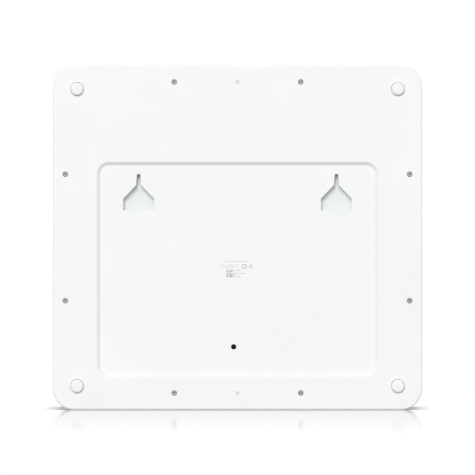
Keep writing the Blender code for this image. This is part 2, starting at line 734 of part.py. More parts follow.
def build_power_jack():
    """A barrel jack with a centre pin, open downwards."""
    size = POWER_JACK_SIZE
    y_high = Y_BOARD_FRONT - GAP
    low = Vector((POWER_JACK_X - size.x / 2, y_high - size.y, JACK_FACE_Z))
    high = Vector((POWER_JACK_X + size.x / 2, y_high, JACK_FACE_Z + size.z))
    middle = (low.y + high.y) / 2
    top = JACK_FACE_Z + POWER_BORE_DEPTH
    bore = upright_rod("power_bore", POWER_JACK_X, middle, POWER_BORE_RADIUS, JACK_FACE_Z - MM, top)
    pin = upright_rod("power_pin", POWER_JACK_X, middle, POWER_PIN_RADIUS, JACK_FACE_Z + MM, top + MM)
    jack = add_part("power_jack", boxes("power_jack", [(low, high)]), "black_plastic")
    cut(jack, bore)
    join(jack, pin)


def build_reset_switch():
    """The switch body on the board's rear, its contact dome and the sliding plunger."""
    x, z = RESET_PLACE
    half = SWITCH_SIDE / 2
    y_low = Y_BOARD_REAR + GAP
    y_high = y_low + SWITCH_HEIGHT
    y_floor = y_low + SWITCH_FLOOR
    low = Vector((x - half, y_low, z - half))
    high = Vector((x + half, y_high, z + half))
    body = add_part("reset_switch", slab("reset_switch", low, high, SWITCH_CORNER_RADIUS), "black_plastic")
    cut(body, rods("reset_well", [RESET_PLACE], PLUNGER_RADIUS + GAP, y_floor, y_high + MM))
    dome_top = DOME_THICKNESS + GAP
    dome = [(0, dome_top), (DOME_RADIUS, DOME_THICKNESS), (DOME_RADIUS, 0), (0, GAP)]
    part = add_part("reset_dome", turned("reset_dome", dome), "shield_steel")
    part.location = (x, y_floor + GAP, z)
    build_reset_button(x, z, y_floor + GAP + dome_top + RESET_TRAVEL + GAP / 3, y_high)


def build_reset_button(x, z, y_end, y_switch_top):
    """The plunger. Its origin lies on the axis it slides along."""
    y_tip = Y_PANEL - PLUNGER_SUNK
    y_flange = y_switch_top + RESET_TRAVEL + GAP / 3
    tip = 0.3 * MM
    profile = [
        (0, y_tip),
        (PLUNGER_RADIUS - tip, y_tip),
        (PLUNGER_RADIUS, y_tip - tip),
        (PLUNGER_RADIUS, y_flange + FLANGE_THICKNESS),
        (FLANGE_RADIUS, y_flange + FLANGE_THICKNESS),
        (FLANGE_RADIUS, y_flange),
        (PLUNGER_RADIUS, y_flange),
        (PLUNGER_RADIUS, y_end),
        (0, y_end),
    ]
    button = add_part("reset_button", turned("reset_button", profile), "black_plastic")
    button.location = (x, 0, z)


def build_status_light():
    """A light emitter on the board's front and the pipe that carries its light to the front face."""
    size = EMITTER_SIZE
    y_high = Y_BOARD_FRONT - GAP
    low = Vector((-size.x / 2, y_high - size.y, LIGHT_Z - size.z / 2))
    high = Vector((size.x / 2, y_high, LIGHT_Z + size.z / 2))
    add_part("status_emitter", slab("status_emitter", low, high, corner=0.4 * MM), "clear_plastic")
    y_flange = Y_FRONT_INNER + GAP + LIGHT_FLANGE_THICKNESS
    profile = [
        (0, low.y - GAP),
        (LIGHT_RADIUS, low.y - GAP),
        (LIGHT_RADIUS, y_flange),
        (LIGHT_FLANGE_RADIUS, y_flange),
        (LIGHT_FLANGE_RADIUS, y_flange - LIGHT_FLANGE_THICKNESS),
        (LIGHT_RADIUS, y_flange - LIGHT_FLANGE_THICKNESS),
        (LIGHT_RADIUS, Y_FRONT + GAP),
        (LIGHT_RADIUS - GAP, Y_FRONT),
        (0, Y_FRONT),
    ]
    pipe = add_part("light_pipe", turned("light_pipe", profile), "clear_plastic")
    pipe.location.z = LIGHT_Z


# ---------------------------------------------------------------- antennas and leads


def build_antenna(number, x, z):
    """A square plate held over the spreader by a bent leg with a foot."""
    name = f"antenna_{number}"
    y_foot = Y_SPREADER_FRONT - GAP
    y_plate = y_foot - ANTENNA_RISE
    half = ANTENNA_SIDE / 2
    plate_low = Vector((x - half, y_plate, z - half))
    plate_high = Vector((x + half, y_plate + ANTENNA_METAL, z + half))
    leg_half = ANTENNA_LEG_WIDTH / 2
    leg = (
        Vector((x - leg_half, y_plate + ANTENNA_METAL / 4, z - half)),
        Vector((x + leg_half, y_foot, z - half + ANTENNA_METAL)),
    )
    foot = (
        Vector((x - leg_half, y_foot - ANTENNA_METAL, z - half - ANTENNA_FOOT)),
        Vector((x + leg_half, y_foot, z - half + ANTENNA_METAL / 2)),
    )
    plate_mesh = slab(name, plate_low, plate_high, ANTENNA_CORNER_RADIUS)
    antenna = add_part(name, plate_mesh, "antenna_brass")
    join(antenna, boxes(name + "_leg", [leg]), boxes(name + "_foot", [foot]))


def bezier(points, t):
    """A point on the cubic through the four given control points."""
    a, b, c, d = points
    s = 1 - t
    return a * s**3 + b * 3 * s * s * t + c * 3 * s * t * t + d * t**3


def build_lead(number, x, z):
    """A thin coaxial lead from under the antenna's top edge, over the spreader, to its board socket."""
    name = f"antenna_lead_{number}"
    y_plate = Y_SPREADER_FRONT - GAP - ANTENNA_RISE
    start = Vector((x, y_plate + ANTENNA_METAL + GAP + LEAD_RADIUS, z + ANTENNA_SIDE / 4))
    y_socket = Y_BOARD_FRONT - GAP - SOCKET_HEIGHT
    end = Vector((x, y_socket + SOCKET_HEIGHT / 2, LEAD_END_Z - SOCKET_RADIUS - GAP - LEAD_RADIUS))
    over = Vector((x, start.y, SPREADER_TOP + 2 * MM))
    turn = (over, over + Vector((0, 0, 4 * MM)), end + Vector((0, -5 * MM, 0)), end)
    route = [start, *(bezier(turn, i / LEAD_STEPS) for i in range(LEAD_STEPS + 1))]
    curve = bpy.data.curves.new(name, "CURVE")
    curve.dimensions = "3D"
    curve.bevel_depth = LEAD_RADIUS
    curve.bevel_resolution = 2
    curve.use_fill_caps = True
    spline = curve.splines.new("POLY")
    spline.points.add(len(route) - 1)
    for point, place in zip(spline.points, route):
        point.co = (*place, 1)
    curve.materials.append(finish("lead_jacket"))
    lead = bpy.data.objects.new(name, curve)
    bpy.data.collections[MODEL].objects.link(lead)
    y_ends = (y_socket, y_socket + SOCKET_HEIGHT)
    socket_name = f"lead_socket_{number}"
    socket = rods(socket_name, [(x, LEAD_END_Z)], SOCKET_RADIUS, *y_ends)
    add_part(socket_name, socket, "antenna_brass")


def build_antennas():
    for number, (x, z) in enumerate(zip(ANTENNA_X, ANTENNA_Z), 1):
        build_antenna(number, x, z)
        build_lead(number, x, z)


def main():
    clear_scene()
    new_collection(MODEL)
    new_collection(CUTTERS)
    build_front_housing()
    build_rear_cover()
    for side, x in KEYHOLE_SIDES.items():
        build_keyhole_cup(side, x)
    build_screws()
    build_feet()
    build_main_board()
    build_shields_and_pads()
    build_heat_spreader()
    for name, x in zip(("network_jack_powered", "network_jack_second"), NETWORK_JACK_X):
        build_network_jack(name, x)
    build_power_jack()
    build_reset_switch()
    build_status_light()
    build_antennas()


main()
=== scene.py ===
"""The looks of a wireless access point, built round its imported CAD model.

The case stands upright on its lower edge. Its rear, with the feet, the recessed panel and the
keyholes, is on +Y and faces the camera. Lengths are metres, and a point of an outline is (x, z).
"""

import json
import math

import bmesh
import bpy
from mathutils import Matrix, Vector
from mathutils.geometry import delaunay_2d_cdt


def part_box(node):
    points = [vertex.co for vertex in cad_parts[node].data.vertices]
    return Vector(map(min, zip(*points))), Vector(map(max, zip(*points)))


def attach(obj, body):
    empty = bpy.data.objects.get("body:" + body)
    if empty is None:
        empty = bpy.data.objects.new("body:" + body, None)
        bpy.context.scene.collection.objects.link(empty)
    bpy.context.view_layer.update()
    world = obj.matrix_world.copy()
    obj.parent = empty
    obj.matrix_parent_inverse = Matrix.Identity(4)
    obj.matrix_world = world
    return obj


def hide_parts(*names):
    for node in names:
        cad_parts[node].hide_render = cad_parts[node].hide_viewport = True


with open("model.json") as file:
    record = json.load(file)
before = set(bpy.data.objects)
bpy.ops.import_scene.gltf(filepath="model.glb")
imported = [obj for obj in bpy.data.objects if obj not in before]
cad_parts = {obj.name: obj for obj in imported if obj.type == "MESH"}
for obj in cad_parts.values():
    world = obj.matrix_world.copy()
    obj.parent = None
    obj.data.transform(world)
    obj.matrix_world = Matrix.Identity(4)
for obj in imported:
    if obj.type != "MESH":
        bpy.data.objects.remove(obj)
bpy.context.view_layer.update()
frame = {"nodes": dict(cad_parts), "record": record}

MM = 0.001
GAP = 0.3 * MM

# The case, from the CAD boxes of its two halves, and the dimensions that boxes don't give.
COVER_LOW, COVER_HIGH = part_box("rear_cover")
Y_REAR = COVER_HIGH.y
Y_SEAM = COVER_LOW.y
Y_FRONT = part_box("front_housing")[0].y
HALF_WIDTH = COVER_HIGH.x
HEIGHT = COVER_HIGH.z
Z_MIDDLE = HEIGHT / 2
CORNER_RADIUS = 13.7 * MM
REAR_EDGE_RADIUS = 1.2 * MM
FRONT_EDGE_RADIUS = 3 * MM
SEAM_EDGE_RADIUS = 0.2 * MM
WALL = 2.4 * MM
LAP_HEIGHT = 2.2 * MM
LAP_THICKNESS = 1 * MM
Y_COVER_INNER = Y_REAR - 2.2 * MM
Y_FRONT_INNER = Y_FRONT + WALL

# The recessed panel, drawn at the foot of its sloping border.
PANEL_HALF_WIDTH = 89.3 * MM
PANEL_TOP = Z_MIDDLE + 47.0 * MM
PANEL_BOTTOM = Z_MIDDLE - 88.7 * MM
PANEL_CORNER_RADIUS = 5.8 * MM
PANEL_DEPTH = 2 * MM
PANEL_SKIN = 2 * MM
BORDER_FILLET = 0.5 * MM
Y_PANEL = Y_REAR - PANEL_DEPTH
Y_PANEL_INNER = Y_PANEL - PANEL_SKIN
BACKING_MARGIN = 4.2 * MM

# Keyholes, as heights over the middle of the rear face and half widths.
KEYHOLE_HALF_WIDTH = 10.05 * MM
KEYHOLE_BOTTOM = 17.6 * MM
KEYHOLE_SHOULDER = 25.2 * MM
SLOT_BOTTOM = 34.0 * MM
SLOT_TOP = 41.2 * MM
SLOT_HALF_WIDTH_BOTTOM = 1.6 * MM
SLOT_HALF_WIDTH_TOP = 1.05 * MM
KEYHOLE_LIP = 0.15 * MM
CUP_WALL = 1.3 * MM
CUP_CORNER_RADIUS = 2.4 * MM

# Screws, bosses, feet and pins.
HEAD_RADIUS = 1.6 * MM
HEAD_HEIGHT = 1.4 * MM
HEAD_BORE_RADIUS = 1.75 * MM
SHANK_RADIUS = 1 * MM
THREAD_HEIGHT = 0.24 * MM
THREAD_PITCH = 0.7 * MM
DRIVE_RADIUS = 0.9 * MM
DRIVE_LOBE = 0.24 * MM
DRIVE_DEPTH = 0.8 * MM
SHANK_HOLE_RADIUS = 1.3 * MM
SCREW_PAD_RADIUS = 4 * MM
SCREW_PAD_DEPTH = 2.4 * MM
BOSS_RADIUS = 3.5 * MM
RIB_THICKNESS = 1.6 * MM
POST_RADIUS = 2.6 * MM
PIN_RADIUS = 0.8 * MM
PIN_HOLE_RADIUS = 0.97 * MM
PIN_Z = 101.1 * MM
FOOT_SOCKET_DEPTH = 1 * MM
FOOT_RIM_RADIUS = 1.5 * MM
FOOT_GAP = 0.28 * MM
Y_SCREW_PAD = Y_COVER_INNER - SCREW_PAD_DEPTH
Y_BOSS_TOP = Y_SCREW_PAD - GAP

# The reset button, the status light, and the rounded lip of small holes.
RESET_HOLE_RADIUS = 1.72 * MM
PLUNGER_RADIUS = 1.35 * MM
LIGHT_RADIUS = 1.3 * MM
LIGHT_HOLE_RADIUS = 1.6 * MM
SMALL_LIP = 0.15 * MM

# Edges that turn by more than this are shaded sharp.
SHARP = math.radians(32)


def middle(node):
    """The centre of a CAD node's box."""
    low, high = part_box(node)
    return (low + high) / 2


def place(node):
    """Where a CAD node's centre lies in the XZ plane."""
    centre = middle(node)
    return centre.x, centre.z


SCREW_PLACES = [place(f"cover_screw_{n}") for n in range(1, 9)]
FOOT_NODES = ["foot_top_left", "foot_top_right", "foot_bottom_left", "foot_bottom_right"]
PIN_PLACES = [(0, Z_MIDDLE + side * PIN_Z) for side in (1, -1)]
KEYHOLE_X = [middle(f"keyhole_cup_{side}").x for side in ("left", "right")]
BOARD_SCREW_PLACES = [place(f"board_screw_{n}") for n in range(1, 5)]


# ---------------------------------------------------------------- outlines and profiles


class Outline:
    """A closed, anticlockwise (x, z) line that can be let out or taken in by a distance."""

    def __init__(self, points):
        self.points = [Vector(p) for p in points]
        self.outward = []
        for i, here in enumerate(self.points):
            arriving = (here - self.points[i - 1]).normalized()
            leaving = (self.points[(i + 1) % len(self.points)] - here).normalized()
            one = Vector((arriving.y, -arriving.x))
            two = Vector((leaving.y, -leaving.x))
            self.outward.append((one + two) / (1 + one.dot(two)))

    def at(self, outset):
        return [p + d * outset for p, d in zip(self.points, self.outward)]


def arc(x, y, radius, start, end, steps):
    """Points of a circular arc about (x, y) between two angles in degrees."""
    turns = [math.radians(start + (end - start) * i / steps) for i in range(steps + 1)]
    return [(x + radius * math.cos(t), y + radius * math.sin(t)) for t in turns]


def circle(x, z, radius, steps=64):
    return Outline(arc(x, z, radius, 0, 360 * (steps - 1) / steps, steps - 1))


def rounded_rectangle(x_low, x_high, z_low, z_high, radius, steps=24):
    corners = (
        (x_high - radius, z_low + radius, -90),
        (x_high - radius, z_high - radius, 0),
        (x_low + radius, z_high - radius, 90),
        (x_low + radius, z_low + radius, 180),
    )
    return Outline([p for x, z, turn in corners for p in arc(x, z, radius, turn, turn + 90, steps)])


def filleted(corners, steps=10):
    """An outline through (x, z, radius) corners, each turned into an arc of its radius."""
    points = []
    for i, (x, z, radius) in enumerate(corners):
        corner = Vector((x, z))
        before = (Vector(corners[i - 1][:2]) - corner).normalized()
        after = (Vector(corners[(i + 1) % len(corners)][:2]) - corner).normalized()
        half = before.angle(after) / 2
        centre = corner + (before + after).normalized() * (radius / math.sin(half))
        reach = radius / math.tan(half)
        start = corner + before * reach - centre
        end = corner + after * reach - centre
        points += [centre + start.slerp(end, s / steps) * radius for s in range(steps + 1)]
    return Outline(points)


def case_outline():
    return rounded_rectangle(-HALF_WIDTH, HALF_WIDTH, 0, HEIGHT, CORNER_RADIUS)


def panel_outline():
    return rounded_rectangle(
        -PANEL_HALF_WIDTH, PANEL_HALF_WIDTH, PANEL_BOTTOM, PANEL_TOP, PANEL_CORNER_RADIUS, 16
    )


def keyhole_outline(x):
    """A pentagon for the screw head to enter with a tapered slot over it."""
    right = [
        (KEYHOLE_HALF_WIDTH, KEYHOLE_BOTTOM, 0.4 * MM),
        (KEYHOLE_HALF_WIDTH, KEYHOLE_SHOULDER, 1.6 * MM),
        (SLOT_HALF_WIDTH_BOTTOM, SLOT_BOTTOM, 1.6 * MM),
        (SLOT_HALF_WIDTH_TOP, SLOT_TOP, 0.4 * MM),
    ]
    left = [(-half, z, radius) for half, z, radius in reversed(right)]
    return filleted([(x + half, Z_MIDDLE + z, radius) for half, z, radius in right + left])


def rounded_edge(outset, y, radius, side=1, steps=6):
    """A convex edge from a face at y to a wall at outset, on the outside (1) or in a hole (-1)."""
    end = 0 if side > 0 else 180
    return arc(outset - side * radius, y - radius, radius, 90, end, steps)


# ---------------------------------------------------------------- closed meshes


class Solid:
    """A closed mesh of rings round outlines, the bands between rings and flat faces across them."""

    def __init__(self):
        self.bm = bmesh.new()

    def ring(self, points, y):
        return [self.bm.verts.new((x, y, z)) for x, z in points]

    def loft(self, rings):
        """Quads from each ring to the next. Gives the first and the last ring."""
        for one, two in zip(rings, rings[1:]):
            for i in range(len(one)):
                j = (i + 1) % len(one)
                self.bm.faces.new((one[i], one[j], two[j], two[i]))
        return rings[0], rings[-1]

    def band(self, outline, profile):
        """A surface round an outline, through the (outset, y) points of a profile."""
        return self.loft([self.ring(outline.at(outset), y) for outset, y in profile])

    def fill(self, outer, *holes):
        """The flat face inside a ring, less the holes."""
        loops = [outer, *holes]
        verts = [v for loop in loops for v in loop]
        flat = [Vector((v.co.x, v.co.z)) / MM for v in verts]
        faces, start = [], 0
        for loop in loops:
            faces.append(list(range(start, start + len(loop))))
            start += len(loop)
        found = delaunay_2d_cdt(flat, [], faces, 2, 1e-5)
        for triangle in found[2]:
            self.bm.faces.new([verts[found[3][i][0]] for i in triangle])

    def slab(self, outline, y_low, y_high):
        """A plain plate with that outline."""
        back, front = self.band(outline, [(0, y_low), (0, y_high)])
        self.fill(back)
        self.fill(front)

    def mesh(self, name, turn=None):
        bmesh.ops.recalc_face_normals(self.bm, faces=self.bm.faces)
        mesh = bpy.data.meshes.new(name)
        self.bm.to_mesh(mesh)
        self.bm.free()
        if turn:
            mesh.transform(turn)
        mesh.shade_smooth()
        mesh.set_sharp_from_angle(angle=SHARP)
        return mesh


def add_piece(name, mesh, material, nodes=(), body="case", location=(0, 0, 0)):
    """Shows a mesh as a piece that rides on a body and may stand for CAD nodes."""
    piece = bpy.data.objects.new(name, mesh)
    bpy.context.scene.collection.objects.link(piece)
    piece.location = location
    if not mesh.materials:
        mesh.materials.append(material)
    normals = piece.modifiers.new("normals", "WEIGHTED_NORMAL")
    normals.keep_sharp = True
    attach(piece, body)
    if nodes:
        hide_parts(*nodes)
    return piece


def boolean(mesh, tool, operation):
    """The mesh cut by, or joined with, a closed tool mesh."""
    piece = bpy.data.objects.new("boolean_piece", mesh)
    helper = bpy.data.objects.new("boolean_tool", tool)
    for made in (piece, helper):
        bpy.context.scene.collection.objects.link(made)
    modifier = piece.modifiers.new("boolean", "BOOLEAN")
    modifier.object = helper
    modifier.operation = operation
    modifier.solver = "EXACT"
    graph = bpy.context.evaluated_depsgraph_get()
    result = bpy.data.meshes.new_from_object(piece.evaluated_get(graph), depsgraph=graph)
    result.name = mesh.name
    for made in (piece, helper):
        bpy.data.objects.remove(made)
    result.shade_smooth()
    result.set_sharp_from_angle(angle=SHARP)
    return result


def box_mesh(name, pairs):
    """Boxes between pairs of corners, as a tool for boolean()."""
    bm = bmesh.new()
    for low, high in pairs:
        matrix = Matrix.Translation((low + high) / 2) @ Matrix.Diagonal((*(high - low), 1))
        bmesh.ops.create_cube(bm, size=1, matrix=matrix)
    mesh = bpy.data.meshes.new(name)
    bm.to_mesh(mesh)
    bm.free()
    return mesh


# ---------------------------------------------------------------- materials


class Finish:
    """A Principled material whose colour, roughness and relief come from patterns of real sizes."""

    def __init__(self, name, **uniform):
        self.material = bpy.data.materials.new(name)
        self.material.use_nodes = True
        self.tree = self.material.node_tree
        self.shader = self.tree.nodes["Principled BSDF"]
        self.place = self.add("ShaderNodeTexCoord").outputs["Object"]
        self.relief = None
        for socket, value in uniform.items():
            self.shader.inputs[socket.replace("_", " ")].default_value = value

    def add(self, kind, **settings):
        node = self.tree.nodes.new(kind)
        for name, value in settings.items():
            setattr(node, name, value)
        return node

    def feed(self, socket, value):
        self.tree.links.new(value, socket)

    def noise(self, size, detail=2, stretch=None):
        """Cloudy noise from 0 to 1 whose features are about size across, or drawn out along an axis."""
        point = self.place
        if stretch:
            mapping = self.add("ShaderNodeMapping")
            self.feed(mapping.inputs["Vector"], point)
            mapping.inputs["Scale"].default_value = stretch
            point = mapping.outputs["Vector"]
        node = self.add("ShaderNodeTexNoise")
        self.feed(node.inputs["Vector"], point)
        node.inputs["Scale"].default_value = 1 / size
        node.inputs["Detail"].default_value = detail
        return node.outputs["Fac"]

    def cells(self, size, **settings):
        """Distance inside cells that are about size across."""
        node = self.add("ShaderNodeTexVoronoi", **settings)
        self.feed(node.inputs["Vector"], self.place)
        node.inputs["Scale"].default_value = 1 / size
        return node.outputs["Distance"]

    def rings(self, size):
        """Lathe marks round the Y axis through the object's origin."""
        node = self.add("ShaderNodeTexWave", wave_type="RINGS", rings_direction="Y")
        self.feed(node.inputs["Vector"], self.place)
        node.inputs["Scale"].default_value = 1 / size
        node.inputs["Distortion"].default_value = 1.5
        return node.outputs["Fac"]

    def spread(self, value, low, high, value_low=0.3, value_high=0.7):
        """A pattern's middle range mapped onto low to high."""
        node = self.add("ShaderNodeMapRange")
        self.feed(node.inputs["Value"], value)
        node.inputs["From Min"].default_value = value_low
        node.inputs["From Max"].default_value = value_high
        node.inputs["To Min"].default_value = low
        node.inputs["To Max"].default_value = high
        return node.outputs["Result"]

    def colour(self, value, *stops):
        """The base colour, from (position, (r, g, b)) stops along a pattern."""
        node = self.add("ShaderNodeValToRGB")
        self.feed(node.inputs["Fac"], value)
        ramp = node.color_ramp
        for i, (position, shade) in enumerate(stops):
            stop = ramp.elements[i] if i < 2 else ramp.elements.new(position)
            stop.position = position
            stop.color = (*shade, 1)
        self.feed(self.shader.inputs["Base Color"], node.outputs["Color"])

    def roughness(self, value, low, high):
        self.feed(self.shader.inputs["Roughness"], self.spread(value, low, high))

    def bump(self, value, height):
        """Adds relief of that height to what is there already."""
        node = self.add("ShaderNodeBump")
        node.inputs["Strength"].default_value = 1
        node.inputs["Distance"].default_value = height
        self.feed(node.inputs["Height"], value)
        if self.relief:
            self.feed(node.inputs["Normal"], self.relief)
        self.relief = node.outputs["Normal"]
        self.feed(self.shader.inputs["Normal"], self.relief)


def white_plastic():
    finish = Finish("white_plastic", IOR=1.49)
    finish.colour(finish.noise(40 * MM), (0.35, (0.885, 0.905, 0.898)), (0.65, (0.905, 0.922, 0.917)))
    finish.roughness(finish.noise(2.5 * MM), 0.38, 0.5)
    finish.bump(finish.noise(0.9 * MM, 1), 0.004 * MM)
    finish.bump(finish.cells(0.22 * MM), 0.006 * MM)
    return finish.material


def grey_white_plastic():
    # The cover's white made a shade darker and bluer: painted shade for the keyhole trays, which lie in
    # shadow behind the keyholes.
    finish = Finish("grey_white_plastic", IOR=1.45)
    finish.colour(finish.noise(12 * MM), (0.35, (0.835, 0.855, 0.862)), (0.65, (0.86, 0.878, 0.885)))
    finish.roughness(finish.noise(1.5 * MM), 0.55, 0.68)
    finish.bump(finish.noise(0.6 * MM, 1), 0.004 * MM)
    finish.bump(finish.cells(0.18 * MM), 0.007 * MM)
    return finish.material


def white_rubber():
    finish = Finish("white_rubber", IOR=1.43, Sheen_Weight=0.15, Sheen_Roughness=0.5)
    finish.colour(finish.noise(3 * MM, 4), (0.35, (0.885, 0.895, 0.89)), (0.65, (0.91, 0.917, 0.913)))
    finish.roughness(finish.noise(0.8 * MM), 0.55, 0.72)
    finish.bump(finish.noise(0.12 * MM, 3), 0.008 * MM)
    return finish.material


def screw_steel():
    finish = Finish("screw_steel", Metallic=1.0)
    finish.colour(finish.noise(0.8 * MM, 3), (0.3, (0.335, 0.34, 0.36)), (0.7, (0.41, 0.416, 0.436)))
    finish.roughness(finish.noise(0.3 * MM, 3), 0.52, 0.68)
    finish.bump(finish.rings(0.5 * MM), 0.002 * MM)
    finish.bump(finish.noise(0.08 * MM, 2), 0.002 * MM)
    return finish.material


def black_plastic():
    finish = Finish("black_plastic", IOR=1.5, Specular_IOR_Level=0.12)
    finish.colour(finish.noise(2 * MM, 3), (0.3, (0.005, 0.005, 0.0055)), (0.7, (0.011, 0.011, 0.012)))
    finish.roughness(finish.noise(0.6 * MM), 0.6, 0.78)
    finish.bump(finish.cells(0.15 * MM), 0.006 * MM)
    return finish.material


def board_laminate():
    """Green solder mask over copper tracks, with the weave of the glass just showing."""
    finish = Finish("board_laminate", IOR=1.55, Coat_Weight=0.4, Coat_Roughness=0.15)
    tracks = finish.cells(2.6 * MM, feature="DISTANCE_TO_EDGE")
    finish.colour(
        tracks,
        (0.0, (0.05, 0.16, 0.075)),
        (0.1, (0.045, 0.15, 0.07)),
        (0.13, (0.016, 0.062, 0.032)),
        (0.8, (0.02, 0.072, 0.037)),
    )
    finish.roughness(finish.noise(1.2 * MM), 0.32, 0.48)
    finish.bump(finish.spread(tracks, 1, 0, 0.1, 0.14), 0.03 * MM)
    finish.bump(finish.cells(0.5 * MM, distance="CHEBYCHEV"), 0.006 * MM)
    return finish.material


def sheet_metal(name, dark, light, grain):
    """Rolled sheet: the grain is drawn out along one axis."""
    finish = Finish(name, Metallic=1.0)
    brushed = finish.noise(0.25 * MM, 3, grain)
    finish.colour(brushed, (0.3, dark), (0.7, light))
    finish.roughness(finish.noise(0.4 * MM, 3, grain), 0.22, 0.42)
    finish.bump(brushed, 0.003 * MM)
    return finish.material


def cast_aluminium():
    finish = Finish("cast_aluminium", Metallic=1.0)
    finish.colour(finish.noise(6 * MM, 4), (0.3, (0.5, 0.51, 0.52)), (0.7, (0.66, 0.67, 0.68)))
    finish.roughness(finish.noise(1.5 * MM, 3), 0.42, 0.62)
    finish.bump(finish.noise(0.35 * MM, 4), 0.03 * MM)
    return finish.material


def pad_silicone():
    finish = Finish("pad_silicone", IOR=1.41)
    finish.colour(finish.noise(1.5 * MM, 4), (0.3, (0.26, 0.37, 0.5)), (0.7, (0.33, 0.45, 0.58)))
    finish.roughness(finish.noise(0.7 * MM), 0.65, 0.85)
    finish.bump(finish.noise(0.5 * MM, 3), 0.04 * MM)
    return finish.material


def clear_plastic():
    """Milky light-guide plastic."""
    finish = Finish("clear_plastic", IOR=1.49, Transmission_Weight=0.35)
    finish.colour(finish.noise(1.2 * MM), (0.3, (0.8, 0.83, 0.85)), (0.7, (0.87, 0.89, 0.9)))
    finish.roughness(finish.noise(0.5 * MM), 0.16, 0.3)
    finish.bump(finish.noise(0.3 * MM), 0.002 * MM)
    return finish.material


def lead_jacket():
    finish = Finish("lead_jacket", IOR=1.38)
    finish.colour(finish.noise(1 * MM, 3), (0.3, (0.02, 0.02, 0.02)), (0.7, (0.045, 0.045, 0.045)))
    finish.roughness(finish.noise(0.4 * MM), 0.3, 0.46)
    finish.bump(finish.noise(0.2 * MM, 2, (1, 1, 0.1)), 0.01 * MM)
    return finish.material


def label_ink(name, shade):
    finish = Finish(name)
    dark, light = [(level, level * 1.01, level * 1.02) for level in (shade - 0.04, shade + 0.04)]
    finish.colour(finish.noise(0.25 * MM, 3), (0.3, dark), (0.7, light))
    finish.roughness(finish.noise(0.3 * MM), 0.6, 0.75)
    finish.bump(finish.noise(0.1 * MM), 0.003 * MM)
    return finish.material


MATERIALS = {
    "white_plastic": white_plastic(),
    "grey_white_plastic": grey_white_plastic(),
    "white_rubber": white_rubber(),
    "screw_steel": screw_steel(),
    "black_plastic": black_plastic(),
    "board_laminate": board_laminate(),
    "shield_steel": sheet_metal("shield_steel", (0.55, 0.55, 0.53), (0.68, 0.68, 0.66), (1, 1, 0.06)),
    "cast_aluminium": cast_aluminium(),
    "antenna_brass": sheet_metal("antenna_brass", (0.66, 0.5, 0.24), (0.78, 0.62, 0.33), (0.06, 1, 1)),
    "pad_silicone": pad_silicone(),
    "clear_plastic": clear_plastic(),
    "lead_jacket": lead_jacket(),
    "contact_gold": sheet_metal("contact_gold", (0.83, 0.6, 0.24), (0.9, 0.68, 0.32), (1, 1, 0.06)),
    "label_ink_pale": label_ink("label_ink_pale", 0.55),
    "label_ink_dark": label_ink("label_ink_dark", 0.42),
}


def dress_cad_nodes():
    """Gives each CAD node the finish of its slot."""
    for subpart in frame["record"]["subparts"]:
        mesh = frame["nodes"][subpart["node"]].data
        mesh.materials.clear()
        mesh.materials.append(MATERIALS[subpart["material_slot"]])


# ---------------------------------------------------------------- case


def screw_bore(solid, x, z):
    """A stepped bore through the cover and the pad behind it."""
    y_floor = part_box("cover_screw_1")[1].y - HEAD_HEIGHT - GAP
    shank = SHANK_HOLE_RADIUS - HEAD_BORE_RADIUS
    pad = SCREW_PAD_RADIUS - HEAD_BORE_RADIUS
    profile = [
        *rounded_edge(0, Y_REAR, SMALL_LIP, side=-1, steps=4),
        (0, y_floor),
        (shank, y_floor),
        (shank, Y_SCREW_PAD),
        (pad, Y_SCREW_PAD),
        (pad, Y_COVER_INNER),
    ]
    return solid.band(circle(x, z, HEAD_BORE_RADIUS), profile)


def through_hole(solid, outline, y_outer, y_inner, lip):
    """A hole through a wall, with a rounded lip at its outer end."""
    return solid.band(outline, [*rounded_edge(0, y_outer, lip, side=-1), (0, y_inner)])


def foot_socket(solid, node):
    """A blind round socket for a foot."""
    low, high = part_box(node)
    x, z = place(node)
    y_floor = Y_REAR - FOOT_SOCKET_DEPTH
    outline = circle(x, z, (high.x - low.x) / 2 + FOOT_GAP, 96)
    lip = rounded_edge(0, Y_REAR, SMALL_LIP, side=-1, steps=4)
    rim, floor = solid.band(outline, [*lip, (0, y_floor)])
    solid.fill(floor)
    return rim


def panel_border(solid):
    """The sloping border of the panel, rounded where it leaves the rear face and meets the floor."""
    reach = BORDER_FILLET * math.tan(math.radians(22.5))
    profile = [
        *arc(PANEL_DEPTH + reach, Y_REAR - BORDER_FILLET, BORDER_FILLET, 90, 135, 6),
        *arc(-reach, Y_PANEL + BORDER_FILLET, BORDER_FILLET, 315, 270, 6),
    ]
    return solid.band(panel_outline(), profile)


